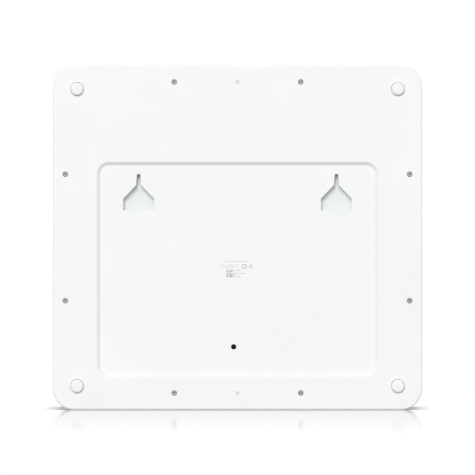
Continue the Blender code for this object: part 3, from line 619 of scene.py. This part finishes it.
def build_rear_cover():
    solid = Solid()
    seam = SEAM_EDGE_RADIUS
    profile = [
        *rounded_edge(0, Y_REAR, REAR_EDGE_RADIUS, steps=10),
        *arc(-seam, Y_SEAM + seam, seam, 0, -90, 4),
        (-LAP_THICKNESS, Y_SEAM),
        (-LAP_THICKNESS, Y_SEAM + LAP_HEIGHT),
        (-WALL, Y_SEAM + LAP_HEIGHT),
        (-WALL, Y_COVER_INNER),
    ]
    rim, inner_rim = solid.band(case_outline(), profile)
    border_top, border_foot = panel_border(solid)
    backing = [(BACKING_MARGIN, Y_COVER_INNER), (BACKING_MARGIN, Y_PANEL_INNER)]
    backing_top, backing_foot = solid.band(panel_outline(), backing)
    outer_holes, inner_holes = [border_top], [backing_top]
    panel_holes, backing_holes = [], []
    for x, z in SCREW_PLACES:
        outer, inner = screw_bore(solid, x, z)
        outer_holes.append(outer)
        inner_holes.append(inner)
    for x, z in PIN_PLACES:
        hole = circle(x, z, PIN_HOLE_RADIUS)
        outer, inner = through_hole(solid, hole, Y_REAR, Y_COVER_INNER, 0.12 * MM)
        outer_holes.append(outer)
        inner_holes.append(inner)
    for node in FOOT_NODES:
        outer_holes.append(foot_socket(solid, node))
    reset = circle(*place("reset_button"), RESET_HOLE_RADIUS)
    for hole in (reset, *(keyhole_outline(x) for x in KEYHOLE_X)):
        outer, inner = through_hole(solid, hole, Y_PANEL, Y_PANEL_INNER, KEYHOLE_LIP)
        panel_holes.append(outer)
        backing_holes.append(inner)
    solid.fill(rim, *outer_holes)
    solid.fill(inner_rim, *inner_holes)
    solid.fill(border_foot, *panel_holes)
    solid.fill(backing_foot, *backing_holes)
    mesh = solid.mesh("cover_shell")
    add_piece("cover_shell", mesh, MATERIALS["white_plastic"], ["rear_cover"])


def boss(solid, x, z, y_top, y_hole):
    """A round boss on the front wall with a blind pilot hole."""
    hole = SHANK_HOLE_RADIUS - BOSS_RADIUS
    profile = [
        (0, Y_FRONT_INNER),
        *arc(-0.3 * MM, y_top - 0.3 * MM, 0.3 * MM, 0, 90, 4),
        (hole, y_top),
        (hole, y_hole),
    ]
    foot, floor = solid.band(circle(x, z, BOSS_RADIUS, 48), profile)
    solid.fill(floor)
    return foot


def pin_post(solid, x, z):
    """A post whose thinner pin ends in a hole in the rear cover."""
    step = PIN_RADIUS - POST_RADIUS
    y_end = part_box("front_housing")[1].y
    profile = [
        (0, Y_FRONT_INNER),
        (0, Y_BOSS_TOP),
        (step, Y_BOSS_TOP),
        *arc(step - 0.2 * MM, y_end - 0.2 * MM, 0.2 * MM, 0, 90, 4),
    ]
    foot, tip = solid.band(circle(x, z, POST_RADIUS, 48), profile)
    solid.fill(tip)
    return foot


def boss_ribs():
    """A rib from each cover boss to the wall it stands nearest."""
    half = RIB_THICKNESS / 2
    y_low, y_high = Y_FRONT_INNER - WALL / 2, Y_SEAM - WALL
    pairs = []
    for x, z in SCREW_PLACES:
        if abs(x) > abs(z - Z_MIDDLE):
            wall = math.copysign(HALF_WIDTH - WALL / 2, x)
            ends = (min(x, wall), z - half), (max(x, wall), z + half)
        else:
            wall = HEIGHT - WALL / 2 if z > Z_MIDDLE else WALL / 2
            ends = (x - half, min(z, wall)), (x + half, max(z, wall))
        (x_low, z_low), (x_high, z_high) = ends
        pairs.append((Vector((x_low, y_low, z_low)), Vector((x_high, y_high, z_high))))
    return box_mesh("boss_ribs", pairs)


def jack_windows():
    """The openings of the lower wall that the jacks look out of."""
    pairs = []
    for node in ("network_jack_powered", "network_jack_second", "power_jack"):
        low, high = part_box(node)
        start = Vector((low.x - GAP, low.y - GAP, -WALL))
        end = Vector((high.x + GAP, high.y + GAP, 2 * WALL))
        pairs.append((start, end))
    return box_mesh("jack_windows", pairs)


def build_front_housing():
    solid = Solid()
    seam = SEAM_EDGE_RADIUS
    y_edge = Y_SEAM - GAP
    y_lap = Y_SEAM + LAP_HEIGHT - GAP
    lap = -LAP_THICKNESS - GAP
    radius = FRONT_EDGE_RADIUS
    profile = [
        (-WALL, Y_FRONT_INNER),
        (-WALL, y_lap),
        (lap, y_lap),
        (lap, y_edge),
        *arc(-seam, y_edge - seam, seam, 90, 0, 4),
        *arc(-radius, Y_FRONT + radius, radius, 0, -90, 14),
    ]
    inner_rim, rim = solid.band(case_outline(), profile)
    cover_screw_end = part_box("cover_screw_1")[0].y - 2 * GAP
    board_screw_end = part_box("board_screw_1")[0].y - 2 * GAP
    y_board_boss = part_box("main_board")[0].y - GAP
    inner_holes = [boss(solid, x, z, Y_BOSS_TOP, cover_screw_end) for x, z in SCREW_PLACES]
    inner_holes += [boss(solid, x, z, y_board_boss, board_screw_end) for x, z in BOARD_SCREW_PLACES]
    inner_holes += [pin_post(solid, x, z) for x, z in PIN_PLACES]
    light = circle(*place("light_pipe"), LIGHT_HOLE_RADIUS)
    lip = arc(SMALL_LIP, Y_FRONT + SMALL_LIP, SMALL_LIP, 180, 270, 4)
    inner, outer = solid.band(light, [(0, Y_FRONT_INNER), *lip])
    solid.fill(inner_rim, inner, *inner_holes)
    solid.fill(rim, outer)
    mesh = boolean(solid.mesh("housing_shell"), boss_ribs(), "UNION")
    mesh = boolean(mesh, jack_windows(), "DIFFERENCE")
    add_piece("housing_shell", mesh, MATERIALS["white_plastic"], ["front_housing"])


def build_keyhole_cups():
    """The shallow trays behind the keyholes."""
    for side in ("left", "right"):
        node = "keyhole_cup_" + side
        low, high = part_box(node)
        y_floor = low.y + CUP_WALL
        solid = Solid()
        outer = rounded_rectangle(low.x, high.x, low.z, high.z, CUP_CORNER_RADIUS, 10)
        edge, base, foot = 0.2 * MM, 0.6 * MM, 0.7 * MM
        back, rim = solid.band(
            outer,
            [
                *arc(-base, low.y + base, base, -90, 0, 6),
                *arc(-edge, high.y - edge, edge, 0, 90, 4),
            ],
        )
        lip, floor = solid.band(
            outer,
            [
                *rounded_edge(-CUP_WALL, high.y, edge, side=-1, steps=4),
                *arc(-CUP_WALL - foot, y_floor + foot, foot, 0, -90, 6),
            ],
        )
        solid.fill(back)
        solid.fill(rim, lip)
        solid.fill(floor)
        mesh = solid.mesh(node)
        # The trays take the darker plastic as painted shade in the keyhole pockets.
        add_piece(node + "_tray", mesh, MATERIALS["grey_white_plastic"], [node])


# ---------------------------------------------------------------- screws, feet and button


def lobed_outline(radius, depth, steps=48):
    """A six-lobed drive recess about the origin."""
    turns = [2 * math.pi * i / steps for i in range(steps)]
    spokes = [radius - depth / 2 + depth / 2 * math.cos(6 * t) for t in turns]
    return Outline([(r * math.cos(t), r * math.sin(t)) for r, t in zip(spokes, turns)])


def thread_rings(solid, length, steps=48):
    """Rings down a shank whose radius follows a helical thread that fades out at both ends."""
    lead_in = 1.2 * MM
    rings = []
    count = round(length / THREAD_PITCH * 8)
    for row in range(1, count):
        y = -length * row / count
        fullness = min(1, min(-y, length + y) / lead_in)
        taper = min(1, 0.55 + (length + y) / lead_in)
        points = []
        for i in range(steps):
            phase = (y / THREAD_PITCH + i / steps) % 1
            crest = max(0, 1 - abs(phase - 0.5) / 0.3)
            radius = (SHANK_RADIUS - THREAD_HEIGHT + THREAD_HEIGHT * crest * fullness) * taper
            turn = 2 * math.pi * i / steps
            points.append((radius * math.cos(turn), radius * math.sin(turn)))
        rings.append(solid.ring(points, y))
    return rings


def screw_mesh(name, length):
    """A pan-head thread-forming screw with its head's underside at y = 0."""
    solid = Solid()
    crown, under = 0.35 * MM, 0.12 * MM
    y_drive = HEAD_HEIGHT - DRIVE_DEPTH
    drive = lobed_outline(DRIVE_RADIUS, DRIVE_LOBE)
    head = circle(0, 0, HEAD_RADIUS, 48)
    head_rings = [
        solid.ring(head.at(outset), y)
        for outset, y in [
            (SHANK_RADIUS - THREAD_HEIGHT - HEAD_RADIUS, 0),
            *arc(-under, under, under, -90, 0, 3),
            *arc(-crown, HEAD_HEIGHT - crown, crown, 0, 90, 6),
        ]
    ]
    shank_rings = thread_rings(solid, length)
    tip, top = solid.loft([*reversed(shank_rings), *head_rings])
    walls = [*rounded_edge(0, HEAD_HEIGHT, 0.08 * MM, side=-1, steps=3), (0, y_drive)]
    drive_rings = [solid.ring(drive.at(outset), y) for outset, y in walls]
    drive_rings.append(solid.ring([p * 0.55 for p in drive.points], y_drive - 0.1 * MM))
    rim, floor = solid.loft(drive_rings)
    solid.fill(tip)
    solid.fill(top, rim)
    solid.fill(floor)
    return solid.mesh(name)


def build_screws():
    """Every screw of a kind shares one mesh."""
    for kind, count in (("cover_screw", 8), ("board_screw", 4), ("spreader_screw", 4)):
        low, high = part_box(kind + "_1")
        mesh = screw_mesh(kind, high.y - low.y - HEAD_HEIGHT)
        for number in range(1, count + 1):
            node = f"{kind}_{number}"
            x, z = place(node)
            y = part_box(node)[1].y - HEAD_HEIGHT
            steel = MATERIALS["screw_steel"]
            add_piece(node + "_fine", mesh, steel, [node], location=(x, y, z))


def build_feet():
    """Soft round pads with rolled rims."""
    low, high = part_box(FOOT_NODES[0])
    radius, length = (high.x - low.x) / 2, high.y - low.y
    rim, base = FOOT_RIM_RADIUS, 0.15 * MM
    solid = Solid()
    back, face = solid.band(
        circle(0, 0, radius, 96),
        [*arc(-base, base, base, -90, 0, 4), *arc(-rim, length - rim, rim, 0, 90, 12)],
    )
    solid.fill(back)
    solid.fill(face)
    mesh = solid.mesh("foot")
    for node in FOOT_NODES:
        x, z = place(node)
        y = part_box(node)[0].y
        rubber = MATERIALS["white_rubber"]
        add_piece(node + "_pad", mesh, rubber, [node], location=(x, y, z))


def build_reset_button():
    """The plunger behind the reset hole, with its collar."""
    low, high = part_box("reset_button")
    x, z = place("reset_button")
    collar = (high.x - low.x) / 2 - PLUNGER_RADIUS
    y_collar, thickness = low.y + 2 * MM, 0.7 * MM
    tip, edge = 0.35 * MM, 0.12 * MM
    solid = Solid()
    base, face = solid.band(
        circle(0, 0, PLUNGER_RADIUS),
        [
            *arc(-edge, low.y + edge, edge, -90, 0, 3),
            (0, y_collar),
            *arc(collar - edge, y_collar + edge, edge, -90, 0, 3),
            *arc(collar - edge, y_collar + thickness - edge, edge, 0, 90, 3),
            (0, y_collar + thickness),
            *arc(-tip, high.y - tip, tip, 0, 90, 8),
        ],
    )
    solid.fill(base)
    solid.fill(face)
    mesh = solid.mesh("reset_plunger")
    black = MATERIALS["black_plastic"]
    body = "reset_plunger"
    add_piece("reset_plunger", mesh, black, ["reset_button"], body, (x, 0, z))


# ---------------------------------------------------------------- printed marks

# Dashes in place of text, in millimetres: where a line starts, with the number of dashes to each word.
DASH_WIDTH, DASH_HEIGHT, DASH_PITCH, WORD_SPACE = 0.38, 0.46, 0.54, 0.36
LINES = (
    (8.1, -15.6, (4, 2, 6, 3, 5, 5)),
    (1.5, -21.4, (3, 3)),
    (1.5, -23.3, (4, 2, 6)),
    (1.5, -25.2, (2, 4)),
)

# Outlines in place of symbols, in millimetres: x, radius, number of sides and width of the stroke.
SYMBOLS_Z = -18.8
SYMBOLS = (
    (10.1, 1.5, 24, 0.16),
    (7.1, 1.0, 4, 0.2),
    (4.2, 1.3, 6, 0.3),
    (0.8, 1.25, 24, 0.14),
    (-4.5, 1.7, 6, 0.55),
    (-8.7, 1.3, 4, 0.45),
)

# A plain block of cells in place of a square code.
CODE_X, CODE_Z = 7.1 * MM, -21 * MM
CELL, CELLS = 0.4 * MM, 12


def build_label():
    """Plain grey marks in place of the printed label: dashes for text, outlines for symbols."""
    marks, code = Solid(), Solid()
    y_low, y_high = Y_PANEL + 0.002 * MM, Y_PANEL + 0.03 * MM

    def block(solid, x, z, width, height):
        """A block whose left and upper edges, seen from the rear, lie at x and z."""
        solid.slab(rounded_rectangle(x - width, x, z - height, z, 0.06 * MM, 2), y_low, y_high)

    for x, z, words in LINES:
        for dashes in words:
            for _ in range(dashes):
                z_top = Z_MIDDLE + (z + DASH_HEIGHT / 2) * MM
                block(marks, x * MM, z_top, DASH_WIDTH * MM, DASH_HEIGHT * MM)
                x -= DASH_PITCH
            x -= WORD_SPACE
    for x, radius, sides, stroke in SYMBOLS:
        outline = circle(x * MM, Z_MIDDLE + SYMBOLS_Z * MM, radius * MM, sides)
        for y in (y_low, y_high):
            marks.fill(marks.ring(outline.at(0), y), marks.ring(outline.at(-stroke * MM), y))
    for row in range(CELLS):
        for column in range(CELLS):
            if column == 0 or row == CELLS - 1 or (row * 5 + column * 3 + row * column) % 7 < 4:
                z = Z_MIDDLE + CODE_Z - row * CELL
                block(code, CODE_X - column * CELL, z, CELL, CELL)
    add_piece("label_marks", marks.mesh("label_marks"), MATERIALS["label_ink_pale"])
    add_piece("label_code", code.mesh("label_code"), MATERIALS["label_ink_dark"])


# ---------------------------------------------------------------- jacks and light

# Turns what was built facing +Y so that it faces -Z, with its own z along the world's y.
FACING_DOWN = Matrix.Rotation(math.radians(-90), 4, "X")
PORT_HALF_WIDTH = 5.95 * MM
PORT_HEIGHT = 8.8 * MM
PORT_DEPTH = 13.5 * MM
LATCH_HALF_WIDTH = 3.1 * MM
LATCH_HEIGHT = 1.8 * MM
CONTACT_PITCH = 1.02 * MM
POWER_BORE_RADIUS = 3.2 * MM
POWER_BORE_DEPTH = 9.5 * MM
POWER_PIN_RADIUS = 1 * MM
POWER_PIN_SUNK = 1.2 * MM


def port_outline(x, y_low):
    """A modular plug's space with the step for its latch, drawn in the world's (x, y)."""
    half, latch = PORT_HALF_WIDTH, LATCH_HALF_WIDTH
    y_step, y_high = y_low + LATCH_HEIGHT, y_low + PORT_HEIGHT
    corner = 0.15 * MM
    right = [(latch, y_low, corner), (latch, y_step, 3 * corner)]
    right += [(half, y_step, corner), (half, y_high, corner)]
    left = [(-dx, y, radius) for dx, y, radius in reversed(right)]
    return filleted([(x + dx, y, radius) for dx, y, radius in right + left], 4)


def build_network_jack(node):
    """A folded steel can round a dark insert, with eight gilt contacts."""
    low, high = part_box(node)
    x = (low.x + high.x) / 2
    metal, edge = 0.3 * MM, 0.3 * MM
    mouth, back = -low.z, -high.z
    port = port_outline(x, low.y + (high.y - low.y - PORT_HEIGHT) / 2)
    can = rounded_rectangle(low.x, high.x, low.y, high.y, 0.5 * MM, 6)
    solid = Solid()
    rear, front = solid.band(
        can, [*arc(-edge, back + edge, edge, -90, 0, 4), *arc(-edge, mouth - edge, edge, 0, 90, 4)]
    )
    inner_rear, inner_front = solid.band(can, [(-metal, back + metal), (-metal, mouth - metal)])
    lip, inner_lip = solid.band(port, [(0.3 * MM, mouth), (0.3 * MM, mouth - metal)])
    solid.fill(rear)
    solid.fill(front, lip)
    solid.fill(inner_rear)
    solid.fill(inner_front, inner_lip)
    mesh = solid.mesh(node + "_can", FACING_DOWN)
    add_piece(node + "_can", mesh, MATERIALS["shield_steel"], [node])
    build_insert(node, can, port, mouth, back)
    build_contacts(node, x, port, mouth)


def build_insert(node, can, port, mouth, back):
    """The moulding inside the can, hollow where the plug goes."""
    clearance, edge = 0.4 * MM, 0.2 * MM
    solid = Solid()
    rear, front = solid.band(can, [(-clearance, back + clearance), (-clearance, mouth - clearance)])
    profile = [*rounded_edge(0, mouth - clearance, edge, side=-1, steps=3), (0, mouth - PORT_DEPTH)]
    lip, floor = solid.band(port, profile)
    solid.fill(rear)
    solid.fill(front, lip)
    solid.fill(floor)
    mesh = solid.mesh(node + "_insert", FACING_DOWN)
    add_piece(node + "_insert", mesh, MATERIALS["black_plastic"])


def build_contacts(node, x, port, mouth):
    """Eight sprung wires that slope across the plug's space from its far wall."""
    y_wall = max(p.y for p in port.points)
    half = 0.18 * MM
    solid = Solid()
    route = [(0.25, 2.2), (0.35, 3.6), (2.3, 9.4), (2.45, 10.6), (1.9, 11.6), (0.3, 12.4)]
    for number in range(8):
        centre = x + (number - 3.5) * CONTACT_PITCH
        rings = []
        for drop, depth in route:
            y, z = y_wall - drop * MM, mouth - depth * MM
            square = [(centre - half, y - half), (centre + half, y - half)]
            square += [(centre + half, y + half), (centre - half, y + half)]
            rings.append(solid.ring(square, z))
        first, last = solid.loft(rings)
        solid.fill(first)
        solid.fill(last)
    mesh = solid.mesh(node + "_contacts", FACING_DOWN)
    add_piece(node + "_contacts", mesh, MATERIALS["contact_gold"])


def build_power_jack():
    """A barrel socket with a steel pin."""
    low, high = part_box("power_jack")
    x, y = (low.x + high.x) / 2, (low.y + high.y) / 2
    mouth, back = -low.z, -high.z
    edge, chamfer = 0.4 * MM, 0.4 * MM
    y_floor = mouth - POWER_BORE_DEPTH
    body = rounded_rectangle(low.x, high.x, low.y, high.y, 0.6 * MM, 6)
    solid = Solid()
    rear, front = solid.band(
        body, [*arc(-edge, back + edge, edge, -90, 0, 4), *arc(-edge, mouth - edge, edge, 0, 90, 4)]
    )
    bore = circle(x, y, POWER_BORE_RADIUS)
    lip, floor = solid.band(bore, [(chamfer, mouth), (0, mouth - chamfer), (0, y_floor)])
    solid.fill(rear)
    solid.fill(front, lip)
    solid.fill(floor)
    mesh = solid.mesh("power_jack_body", FACING_DOWN)
    add_piece("power_jack_body", mesh, MATERIALS["black_plastic"], ["power_jack"])
    pin = Solid()
    tip, y_tip = 0.45 * MM, mouth - POWER_PIN_SUNK
    profile = [(0, y_floor + 0.01 * MM), *arc(-tip, y_tip - tip, tip, 0, 90, 6)]
    foot, end = pin.band(circle(x, y, POWER_PIN_RADIUS, 32), profile)
    pin.fill(foot)
    pin.fill(end)
    mesh = pin.mesh("power_jack_pin", FACING_DOWN)
    add_piece("power_jack_pin", mesh, MATERIALS["shield_steel"])


def build_light_pipe():
    """The clear pipe whose polished end is flush with the front face."""
    low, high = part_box("light_pipe")
    x, z = place("light_pipe")
    flange = (high.x - low.x) / 2 - LIGHT_RADIUS
    y_flange, thickness = Y_FRONT_INNER + GAP, 1 * MM
    tip, edge = 0.25 * MM, 0.1 * MM
    solid = Solid()
    face, end = solid.band(
        circle(0, 0, LIGHT_RADIUS),
        [
            *arc(-tip, low.y + tip, tip, -90, 0, 6),
            (0, y_flange),
            *arc(flange - edge, y_flange + edge, edge, -90, 0, 3),
            *arc(flange - edge, y_flange + thickness - edge, edge, 0, 90, 3),
            (0, y_flange + thickness),
            *arc(-edge, high.y - edge, edge, 0, 90, 3),
        ],
    )
    solid.fill(face)
    solid.fill(end)
    mesh = solid.mesh("status_light_pipe")
    clear = MATERIALS["clear_plastic"]
    add_piece("status_light_pipe", mesh, clear, ["light_pipe"], location=(x, 0, z))


# ---------------------------------------------------------------- studio

CAMERA_DISTANCE = 2.0
VIEW_WIDTH = 308.6 * MM
SENSOR_WIDTH = 36

# How bright the backdrop is, and the soft light from above and below. Light from the sides is added.
BACKDROP = 1.05
AMBIENT_ABOVE = 0.32
AMBIENT_BELOW = 0.36
AMBIENT_SIDES = 0.3

# The floor. Its polish fades from full to none between two distances from the object's footprint.
FLOOR_SIZE = 60
FLOOR_SHADE = 0.45
FLOOR_IOR = 1.3
POLISH = 1.55
POLISH_TINT = 0.975
POLISH_ROUGHNESS = 0.1
POLISH_START = 0.01
POLISH_END = 0.32

# Distant lamps: name, direction, strength, width in degrees and whether they light the floor alone.
SUNS = (
    ("key", (0.18, 1, 0.53), 1.71, 32, False),
    ("front_fill", (-0.3, -1, 0.65), 1.6, 22, False),
    ("floor_sky", (0, 0.05, 1), 5.8, 52, True),
)


def build_camera():
    """Square on to the rear face, level with its middle."""
    data = bpy.data.cameras.new("camera")
    data.sensor_width = SENSOR_WIDTH
    data.lens = SENSOR_WIDTH * CAMERA_DISTANCE / VIEW_WIDTH
    data.clip_end = 200
    camera = bpy.data.objects.new("camera", data)
    camera.location = (0, Y_REAR + CAMERA_DISTANCE, Z_MIDDLE)
    camera.rotation_euler = (math.radians(90), 0, math.radians(180))
    bpy.context.scene.collection.objects.link(camera)
    bpy.context.scene.camera = camera


def operate(tree, kind, operation, *values):
    """A Math or Vector Math node fed with outputs or plain values."""
    node = tree.nodes.new(kind)
    node.operation = operation
    for socket, value in zip(node.inputs, values):
        if isinstance(value, bpy.types.NodeSocket):
            tree.links.new(value, socket)
        else:
            socket.default_value = value
    return node


def fade(tree, value, start, end, from_level, to_level):
    """A smooth change of level as a value goes from start to end."""
    node = tree.nodes.new("ShaderNodeMapRange")
    node.interpolation_type = "SMOOTHSTEP"
    levels = {"From Min": start, "From Max": end, "To Min": from_level, "To Max": to_level}
    for socket, level in levels.items():
        node.inputs[socket].default_value = level
    tree.links.new(value, node.inputs["Value"])
    return node.outputs["Result"]


def floor_material():
    """White, with a polish that is strongest just outside the object and fades away from it."""
    material = bpy.data.materials.new("floor_white")
    material.use_nodes = True
    tree = material.node_tree
    tree.nodes.remove(tree.nodes["Principled BSDF"])
    reach = tree.nodes.new("ShaderNodeTexCoord").outputs["Object"]
    for operation, other in (
        ("ABSOLUTE", (0, 0, 0)),
        ("SUBTRACT", (HALF_WIDTH, Y_REAR, 1)),
        ("MAXIMUM", (0, 0, 0)),
    ):
        reach = operate(tree, "ShaderNodeVectorMath", operation, reach, other).outputs["Vector"]
    distance = operate(tree, "ShaderNodeVectorMath", "LENGTH", reach).outputs["Value"]
    matte = tree.nodes.new("ShaderNodeBsdfDiffuse")
    matte.inputs["Color"].default_value = (*[FLOOR_SHADE] * 3, 1)
    gloss = tree.nodes.new("ShaderNodeBsdfAnisotropic")
    gloss.inputs["Roughness"].default_value = POLISH_ROUGHNESS
    gloss.inputs["Color"].default_value = (*[POLISH_TINT] * 3, 1)
    fresnel = tree.nodes.new("ShaderNodeFresnel")
    fresnel.inputs["IOR"].default_value = FLOOR_IOR
    share = fresnel.outputs["Fac"]
    for factor in (
        fade(tree, distance, 0, POLISH_START, 0.3, 1),
        fade(tree, distance, POLISH_START, POLISH_END, POLISH, 0),
    ):
        product = operate(tree, "ShaderNodeMath", "MULTIPLY", share, factor)
        product.use_clamp = True
        share = product.outputs["Value"]
    mix = tree.nodes.new("ShaderNodeMixShader")
    tree.links.new(share, mix.inputs["Fac"])
    tree.links.new(matte.outputs["BSDF"], mix.inputs[1])
    tree.links.new(gloss.outputs["BSDF"], mix.inputs[2])
    tree.links.new(mix.outputs["Shader"], tree.nodes["Material Output"].inputs["Surface"])
    return material


def build_floor():
    """A wide white floor. Its light doesn't fill the shadows on the object's underside."""
    bm = bmesh.new()
    bmesh.ops.create_grid(bm, x_segments=8, y_segments=8, size=FLOOR_SIZE)
    mesh = bpy.data.meshes.new("floor")
    bm.to_mesh(mesh)
    bm.free()
    floor = bpy.data.objects.new("floor", mesh)
    bpy.context.scene.collection.objects.link(floor)
    mesh.materials.append(floor_material())
    floor.visible_diffuse = False
    floor.visible_glossy = False
    return floor


def build_world():
    """A white backdrop, with a dimmer light from all round that is strongest level with the object."""
    world = bpy.data.worlds.new("studio")
    world.use_nodes = True
    bpy.context.scene.world = world
    tree = world.node_tree
    direction = tree.nodes.new("ShaderNodeTexCoord").outputs["Generated"]
    split = tree.nodes.new("ShaderNodeSeparateXYZ")
    tree.links.new(direction, split.inputs["Vector"])
    height = split.outputs["Z"]
    steepness = operate(tree, "ShaderNodeMath", "ABSOLUTE", height).outputs["Value"]
    around = fade(tree, height, -0.2, 0.1, AMBIENT_BELOW, AMBIENT_ABOVE)
    from_sides = fade(tree, steepness, 0.1, 0.9, AMBIENT_SIDES, 0)
    ambient = operate(tree, "ShaderNodeMath", "ADD", around, from_sides).outputs["Value"]
    backdrop = fade(tree, height, -0.15, -0.02, AMBIENT_BELOW, BACKDROP)
    ray = tree.nodes.new("ShaderNodeLightPath")
    level = tree.nodes.new("ShaderNodeMix")
    tree.links.new(ray.outputs["Is Diffuse Ray"], level.inputs["Factor"])
    tree.links.new(backdrop, level.inputs["A"])
    tree.links.new(ambient, level.inputs["B"])
    background = tree.nodes["Background"]
    background.inputs["Color"].default_value = (1, 1, 1, 1)
    tree.links.new(level.outputs["Result"], background.inputs["Strength"])


def add_sun(name, direction, strength, width, floor, floor_alone):
    """A distant lamp over a direction from the object. It lights the floor alone, or all but it."""
    data = bpy.data.lights.new(name, "SUN")
    data.energy = strength
    data.angle = math.radians(width)
    sun = bpy.data.objects.new(name, data)
    offset = 2 * Vector(direction)
    sun.location = Vector((0, 0, Z_MIDDLE)) + offset
    sun.rotation_euler = (-offset).to_track_quat("-Z", "Y").to_euler()
    sun.visible_camera = False
    bpy.context.scene.collection.objects.link(sun)
    receivers = bpy.data.collections.new(name + "_receivers")
    receivers.objects.link(floor)
    sun.light_linking.receiver_collection = receivers
    state = "INCLUDE" if floor_alone else "EXCLUDE"
    receivers.collection_objects[0].light_linking.link_state = state


def build_studio():
    build_camera()
    build_world()
    floor = build_floor()
    for name, direction, strength, width, floor_alone in SUNS:
        add_sun(name, direction, strength, width, floor, floor_alone)
    bpy.context.scene.view_settings.view_transform = "Standard"


def main():
    build_studio()
    dress_cad_nodes()
    build_rear_cover()
    build_front_housing()
    build_keyhole_cups()
    build_screws()
    build_feet()
    build_reset_button()
    build_label()
    for node in ("network_jack_powered", "network_jack_second"):
        build_network_jack(node)
    build_power_jack()
    build_light_pipe()


main()
